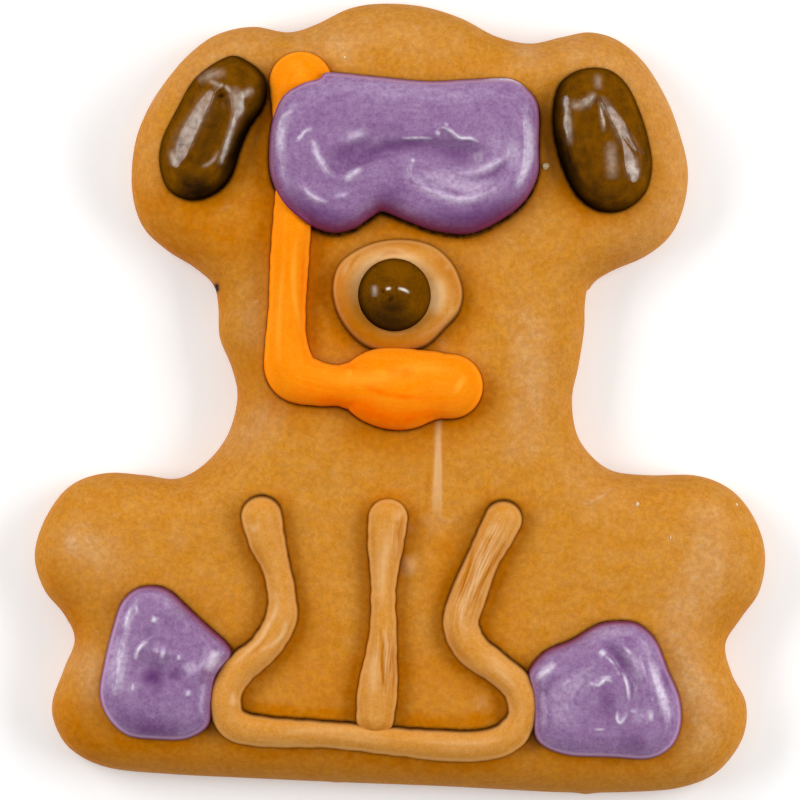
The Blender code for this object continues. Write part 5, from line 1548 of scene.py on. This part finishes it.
def grain_group():
    """Fine bumps of set icing or coating, in millimetres of height."""
    group, given, result = new_group(
        "grain",
        [("Size", "NodeSocketFloat", 0.3), ("Height", "NodeSocketFloat", 0.01)],
        [("Height", "NodeSocketFloat")],
    )
    noise = node(group, "ShaderNodeTexNoise", {
        "Vector": millimetres(group), "Scale": maths(group, "DIVIDE", 1.0, given["Size"]), "Detail": 4.0,
    })
    group.links.new(maths(group, "MULTIPLY", noise.outputs["Fac"], given["Height"]), result["Height"])
    return group


mottling = mottling_group()
streaking = streaking_group()
tinting = tinting_group()
grain = grain_group()


def use_group(tree, group, **inputs):
    """The output of a node group placed in a material, with its inputs by label."""
    inputs = {label.replace("_", " "): value for label, value in inputs.items()}
    return node(tree, "ShaderNodeGroup", inputs, node_tree=group).outputs[0]


def mottled(tree, size, softness=0.16):
    """Mask of soft patches."""
    return use_group(tree, mottling, Size=size, Softness=softness)


def streaked(tree, width, length, softness=0.16):
    """Mask of streaks along the flow."""
    return use_group(tree, streaking, Width=width, Length=length, Softness=softness)


def grained(tree, size, height):
    """Height of fine bumps."""
    return use_group(tree, grain, Size=size, Height=height)


def tinted(tree, colour, pale, deep, pale_mask=0.0, deep_mask=0.0):
    """A colour drawn towards a paler one and then a deeper one."""
    return use_group(
        tree, tinting, Colour=colour, Pale=pale, Deep=deep, Pale_mask=pale_mask, Deep_mask=deep_mask,
    )


def grainy(tree, colour, pale, deep, share, size=0.3):
    """A colour with fine paler and deeper grain."""
    pale_mask, deep_mask = (
        weighted(tree, (mottled(tree, spots, 0.12), share)) for spots in (size, 0.8 * size)
    )
    return tinted(tree, colour, pale, deep, pale_mask, deep_mask)


def icing_colour(
        tree, colour, pale, deep, foot, edge, pale_mask, deep_mask, foot_share=0.9, edge_share=0.5):
    """Icing colour with pale and deep places, a dark foot of painted shade and a pale line of painted
    highlight inside its edge.
    """
    marbled = tinted(tree, colour, pale, deep, pale_mask, deep_mask)
    edge_mask = weighted(tree, (painted(tree, "edge"), edge_share))
    foot_mask = weighted(tree, (painted(tree, "foot"), foot_share))
    return tinted(tree, marbled, edge, foot, edge_mask, foot_mask)


def glinting(tree, colour, glint, patches):
    """A colour with its painted glints, a little broken up by the patches."""
    streaks = painted(tree, "glint")
    mask = weighted(tree, (streaks, 0.65), (product(tree, streaks, patches), 0.7))
    return tinted(tree, colour, glint, glint, mask)


def glossy_where_painted(tree, shader, patches, weight, more):
    """Clear coat where the gloss is painted, stronger in the patches."""
    gloss = painted(tree, "gloss")
    coat = weighted(tree, (gloss, weight), (product(tree, gloss, patches), more))
    tree.links.new(coat, shader.inputs["Coat Weight"])


def new_finish(name):
    """A material with its node tree and its Principled shader."""
    material = bpy.data.materials.new(name)
    material.use_nodes = True
    return material, material.node_tree, material.node_tree.nodes["Principled BSDF"]


def set_values(shader, **values):
    """Sets the shader's own sockets by label."""
    for label, value in values.items():
        shader.inputs[label.replace("_", " ")].default_value = value


def set_surface(tree, shader, colour, height, rough=None):
    """Feeds colour, bumps in millimetres and roughness (lowest, highest, mask) to the shader."""
    tree.links.new(colour, shader.inputs["Base Color"])
    bump = node(tree, "ShaderNodeBump", {"Height": height, "Distance": MM, "Strength": 1.0})
    tree.links.new(bump.outputs[0], shader.inputs["Normal"])
    if rough:
        low, high, mask = rough
        rough = node(tree, "ShaderNodeMapRange", {"Value": mask, "To Min": low, "To Max": high}).outputs[0]
        tree.links.new(rough, shader.inputs["Roughness"])


def coating_finish():
    """Satin caramel-coloured coating: mottled, pale with painted sheen, darker and richer round the icing
    with painted shade.
    """
    material, tree, shader = new_finish("caramel_coating")
    middle = mottled(tree, 1.7, 0.12)
    small = mottled(tree, 0.7, 0.14)
    # Painted sheen, which also makes the coat glossy there
    sheen = painted(tree, "sheen")
    pale = weighted(
        tree, (painted(tree, "pale"), 0.8), (sheen, 0.8), (product(tree, sheen, small), 0.3),
        (mottled(tree, 5.0, 0.14), 0.06), (middle, 0.16), (small, 0.1),
    )
    # Painted shade round the icing, in broad patches and on the shoulder
    rich = weighted(
        tree, (painted(tree, "halo"), 0.9), (painted(tree, "worn"), 0.9), (painted(tree, "thin"), 0.25),
    )
    broken = weighted(tree, (small, 0.2), (1.0, 0.9))
    # Painted shade in the dark line beside the icing, and a faint darkening near the biscuit's edge
    crease = product(tree, painted(tree, "crease"), broken)
    line = weighted(tree, (crease, 1.0), (painted(tree, "rim"), 0.11))
    # Painted highlight along the crack below the mouthpiece, and creamy places
    cream = weighted(tree, (painted(tree, "cream"), 0.8))
    # Pale colour of the pale marks and of the painted sheen
    bloom = srgb(222, 174, 120)
    spots = weighted(tree, (mottled(tree, 2.3, 0.12), 0.35))
    colour = tinted(tree, srgb(208, 137, 34), bloom, srgb(196, 116, 2), pale, spots)
    colour = grainy(tree, colour, srgb(240, 180, 70), srgb(160, 90, 4), 0.17)
    rich_mask = weighted(tree, (rich, 0.6), (product(tree, rich, middle), 0.5))
    colour = tinted(tree, colour, bloom, srgb(200, 115, 0), deep_mask=rich_mask)
    colour = grainy(tree, colour, srgb(226, 150, 30), srgb(150, 84, 0), 0.22, 0.8)
    colour = tinted(tree, colour, srgb(238, 194, 140), srgb(44, 20, 2), cream, line)
    height = weighted(tree, (grained(tree, 0.25, 0.03), 1.0), (grained(tree, 1.6, 0.05), 1.0))
    set_surface(tree, shader, colour, height, (0.44, 0.54, small))
    tree.links.new(weighted(tree, (sheen, 0.3)), shader.inputs["Coat Weight"])
    set_values(
        shader, Subsurface_Weight=0.06, Subsurface_Scale=1.0 * MM, Specular_IOR_Level=0.02,
        Coat_Roughness=0.45,
    )
    return material


def purple_finish():
    """Glossy purple icing marbled with paler streaks, with painted highlights and glints, and painted shade
    at its foot and in its hollows.
    """
    material, tree, shader = new_finish("purple_icing")
    small = mottled(tree, 0.6, 0.2)
    flow = streaked(tree, 0.45, 3.0)
    streaks = painted(tree, "pale")
    pale = weighted(
        tree, (product(tree, streaks, small), 0.6), (product(tree, streaks, flow), 0.3), (streaks, 0.35),
        (mottled(tree, 3.5, 0.2), 0.1), (small, 0.2), (flow, 0.1),
    )
    deep = weighted(tree, (painted(tree, "deep"), 0.9), (mottled(tree, 1.1, 0.14), 0.16))
    colour = icing_colour(
        tree, grainy(tree, srgb(134, 91, 142), srgb(190, 160, 198), srgb(96, 54, 108), 0.14),
        pale=srgb(200, 176, 206), deep=srgb(94, 44, 104), foot=srgb(112, 14, 58), edge=srgb(214, 176, 200),
        pale_mask=pale, deep_mask=deep, edge_share=0.6,
    )
    colour = glinting(tree, colour, srgb(236, 226, 242), small)
    height = weighted(tree, (grained(tree, 0.3, 0.02), 1.0), (product(tree, flow, streaks), 0.03))
    set_surface(tree, shader, colour, height, (0.3, 0.4, small))
    glossy_where_painted(tree, shader, small, 0.4, 0.4)
    set_values(
        shader, Subsurface_Weight=0.08, Subsurface_Scale=1.2 * MM, Specular_IOR_Level=0.02,
        Coat_Roughness=0.24,
    )
    return material


def brown_finish():
    """Glossy dark brown icing with painted sheen and glints, and painted shade on its shaded flanks and at
    its foot.
    """
    material, tree, shader = new_finish("brown_icing")
    broad = mottled(tree, 2.2)
    small = mottled(tree, 0.8)
    deep = weighted(
        tree, (painted(tree, "deep"), 0.8), (streaked(tree, 0.5, 5.0, 0.18), 0.25),
        (mottled(tree, 1.5, 0.14), 0.25),
    )
    colour = icing_colour(
        tree, grainy(tree, srgb(110, 64, 0), srgb(150, 92, 8), srgb(50, 28, 2), 0.25),
        pale=srgb(140, 86, 4), deep=srgb(46, 27, 8), foot=srgb(8, 3, 0), edge=srgb(110, 66, 20),
        pale_mask=weighted(tree, (broad, 0.4), (small, 0.3), (painted(tree, "pale"), 0.8)), deep_mask=deep,
        foot_share=1.0, edge_share=0.0,
    )
    colour = glinting(tree, colour, srgb(214, 200, 184), small)
    set_surface(tree, shader, colour, grained(tree, 0.35, 0.012), (0.3, 0.4, broad))
    glossy_where_painted(tree, shader, small, 0.45, 0.45)
    set_values(shader, Coat_Roughness=0.16, Coat_IOR=1.6, Specular_IOR_Level=0.0)
    return material


def nose_finish():
    """Dark brown icing that has set less glossy, with painted light above, painted glints, and painted shade
    below and at its foot.
    """
    material, tree, shader = new_finish("nose_icing")
    broad = mottled(tree, 1.6)
    small = mottled(tree, 0.6)
    colour = icing_colour(
        tree, grainy(tree, srgb(100, 58, 0), srgb(140, 86, 8), srgb(44, 24, 4), 0.3),
        pale=srgb(130, 78, 2), deep=srgb(34, 20, 8), foot=srgb(20, 8, 2), edge=srgb(110, 66, 20),
        pale_mask=weighted(tree, (broad, 0.25), (small, 0.15), (painted(tree, "pale"), 0.8)),
        deep_mask=weighted(tree, (painted(tree, "deep"), 0.9)), edge_share=0.0,
    )
    colour = glinting(tree, colour, srgb(255, 246, 230), broad)
    set_surface(tree, shader, colour, grained(tree, 0.3, 0.014), (0.35, 0.45, broad))
    glossy_where_painted(tree, shader, small, 0.6, 0.4)
    set_values(shader, Coat_Roughness=0.12, Coat_IOR=1.7, Specular_IOR_Level=0.0)
    return material


def orange_finish():
    """Satin orange icing with faint streaks along the stroke, painted highlights, and painted shade on its
    lower side and at its foot.
    """
    material, tree, shader = new_finish("orange_icing")
    flow = streaked(tree, 0.6, 7.0)
    broken = mottled(tree, 1.4, 0.12)
    # The deep streaks are mostly painted shade on the lower side of the mouthpiece and the bend
    streaks = painted(tree, "deep")
    colour = icing_colour(
        tree, grainy(tree, srgb(255, 140, 0), srgb(255, 168, 20), srgb(244, 108, 0), 0.3),
        pale=srgb(255, 176, 54), deep=srgb(255, 113, 0), foot=srgb(222, 92, 0), edge=srgb(255, 160, 40),
        pale_mask=weighted(tree, (flow, 0.16), (mottled(tree, 0.7), 0.1), (painted(tree, "pale"), 0.75)),
        deep_mask=weighted(tree, (streaks, 0.8), (product(tree, streaks, broken), 0.3), (broken, 0.15)),
        foot_share=0.65,
    )
    height = weighted(tree, (flow, 0.01), (grained(tree, 0.25, 0.022), 1.0))
    set_surface(tree, shader, colour, height, (0.42, 0.52, flow))
    set_values(shader, Subsurface_Weight=0.06, Subsurface_Scale=1.0 * MM, Specular_IOR_Level=0.0)
    return material


def tan_finish():
    """Satin tan icing, streaked where the stroke tore as it was piped, with painted light and painted shade,
    also at its foot.
    """
    material, tree, shader = new_finish("tan_icing")
    rough = painted(tree, "rough")
    flow = streaked(tree, 0.7, 6.0)
    torn = streaked(tree, 0.2, 4.0, 0.14)
    pale = weighted(
        tree, (flow, 0.16), (product(tree, torn, rough), 0.5), (painted(tree, "pale"), 0.9),
        (mottled(tree, 0.7), 0.14),
    )
    whole = maths(tree, "SUBTRACT", 1.0, torn)
    deep = weighted(
        tree, (painted(tree, "deep"), 0.9), (product(tree, whole, rough), 0.5),
        (mottled(tree, 1.3, 0.14), 0.12),
    )
    colour = icing_colour(
        tree, grainy(tree, srgb(215, 141, 42), srgb(244, 186, 92), srgb(168, 98, 6), 0.2),
        pale=srgb(238, 188, 128), deep=srgb(190, 109, 0), foot=srgb(64, 30, 0), edge=srgb(234, 178, 112),
        pale_mask=pale, deep_mask=deep,
    )
    height = weighted(tree, (product(tree, torn, rough), 0.08), (grained(tree, 0.25, 0.025), 1.0))
    set_surface(tree, shader, colour, height, (0.42, 0.54, flow))
    set_values(shader, Subsurface_Weight=0.06, Subsurface_Scale=1.0 * MM, Specular_IOR_Level=0.015)
    return material


def crumb_finish():
    """Dry cream-coloured crumb."""
    material, tree, shader = new_finish("dry_crumb")
    colour = tinted(
        tree, srgb(222, 182, 120), srgb(240, 222, 180), srgb(160, 100, 40), mottled(tree, 0.3, 0.2),
    )
    set_surface(tree, shader, colour, grained(tree, 0.12, 0.02))
    set_values(shader, Roughness=0.7)
    return material


# Camera straight above the face, with the photograph's 100 mm across at the height of the icing's foot
CAMERA_DISTANCE = 2.0
SENSOR_WIDTH = 36.0
VIEW_WIDTH = 0.1
FACE_HEIGHT = 7.0 * MM
FLOOR_REACH = 3.0
FLOOR_DROP = 0.02 * MM


def camera():
    """The camera that looks straight down on the face."""
    data = bpy.data.cameras.new("camera")
    data.sensor_width = SENSOR_WIDTH
    data.lens = SENSOR_WIDTH * CAMERA_DISTANCE / VIEW_WIDTH
    data.clip_end = 2 * CAMERA_DISTANCE
    made = bpy.data.objects.new("camera", data)
    made.location = (0.0, 0.0, FACE_HEIGHT + CAMERA_DISTANCE)
    bpy.context.scene.collection.objects.link(made)
    bpy.context.scene.camera = made


def floor():
    """Plain near-white tabletop under the biscuit."""
    data = bpy.data.meshes.new("table")
    sides = ((-1, -1), (1, -1), (1, 1), (-1, 1))
    corners = [(x * FLOOR_REACH, y * FLOOR_REACH, -FLOOR_DROP) for x, y in sides]
    data.from_pydata(corners, [], [(0, 1, 2, 3)])
    made = bpy.data.objects.new("table", data)
    bpy.context.scene.collection.objects.link(made)
    material, _, shader = new_finish("white_table")
    set_values(
        shader, Base_Color=(0.95, 0.95, 0.95, 1.0), Roughness=0.8, Emission_Color=(1.0, 1.0, 1.0, 1.0),
        Emission_Strength=0.14,
    )
    data.materials.append(material)


def softbox(name, direction, elevation, distance, size, power):
    """A rectangular soft light that faces the biscuit. Direction 0 is +X and 90 is +Y, in degrees."""
    data = bpy.data.lights.new(name, "AREA")
    data.shape = "RECTANGLE"
    data.size, data.size_y = size
    data.energy = power
    made = bpy.data.objects.new(name, data)
    turn, tilt = math.radians(direction), math.radians(elevation)
    made.location = (
        distance * math.cos(turn) * math.cos(tilt),
        distance * math.sin(turn) * math.cos(tilt),
        distance * math.sin(tilt),
    )
    made.rotation_euler = (math.pi / 2 - tilt, 0.0, turn + math.pi / 2)
    made.visible_camera = False
    bpy.context.scene.collection.objects.link(made)


def lights():
    """Softboxes left, right and beyond the head, with a weak fill all round."""
    softbox("left_softbox", 165, 36, 0.5, (0.47, 0.2), 1.68)
    softbox("right_softbox", 5, 36, 0.5, (0.47, 0.2), 1.8)
    softbox("head_softbox", 90, 35, 0.6, (0.8, 0.3), 0.62)
    world = bpy.data.worlds.new("room")
    world.use_nodes = True
    background = world.node_tree.nodes["Background"]
    background.inputs["Color"].default_value = (1.0, 1.0, 1.0, 1.0)
    background.inputs["Strength"].default_value = 0.26
    bpy.context.scene.world = world
    bpy.context.scene.view_settings.view_transform = "Standard"


camera()
purple = purple_finish()
brown = brown_finish()
tan = tan_finish()
biscuit(coating_finish())
icing("ear_left", brown, (EAR_LEFT_PALE, EAR_LEFT_DEEP, EAR_LEFT_GLINTS), EAR_LEFT_GLOSS)
icing("ear_right", brown, (EAR_RIGHT_PALE, EAR_RIGHT_DEEP, EAR_RIGHT_GLINTS), EAR_RIGHT_GLOSS)
icing("snorkel", orange_finish(), (SNORKEL_PALE, SNORKEL_DEEP))
icing("mask", purple, (MASK_PALE, MASK_DEEP, MASK_GLINTS), crossed="snorkel")
icing("muzzle", tan, (MUZZLE_PALE, MUZZLE_DEEP))
icing(
    "nose", nose_finish(), (NOSE_PALE, NOSE_DEEP, NOSE_GLINTS), NOSE_GLOSS,
    carrier=muzzle_top,
)
icing("leg_piping", tan, (LEG_PALE, LEG_DEEP))
icing("leg_divider", tan, (DIVIDER_PALE, DIVIDER_DEEP), crossed="leg_piping", runs_in=True)
icing("flipper_left", purple, (FLIPPER_LEFT_PALE, FLIPPER_LEFT_DEEP, FLIPPER_LEFT_GLINTS))
icing("flipper_right", purple, (FLIPPER_RIGHT_PALE, FLIPPER_RIGHT_DEEP, FLIPPER_RIGHT_GLINTS))
crumbs(crumb_finish())
floor()
lights()
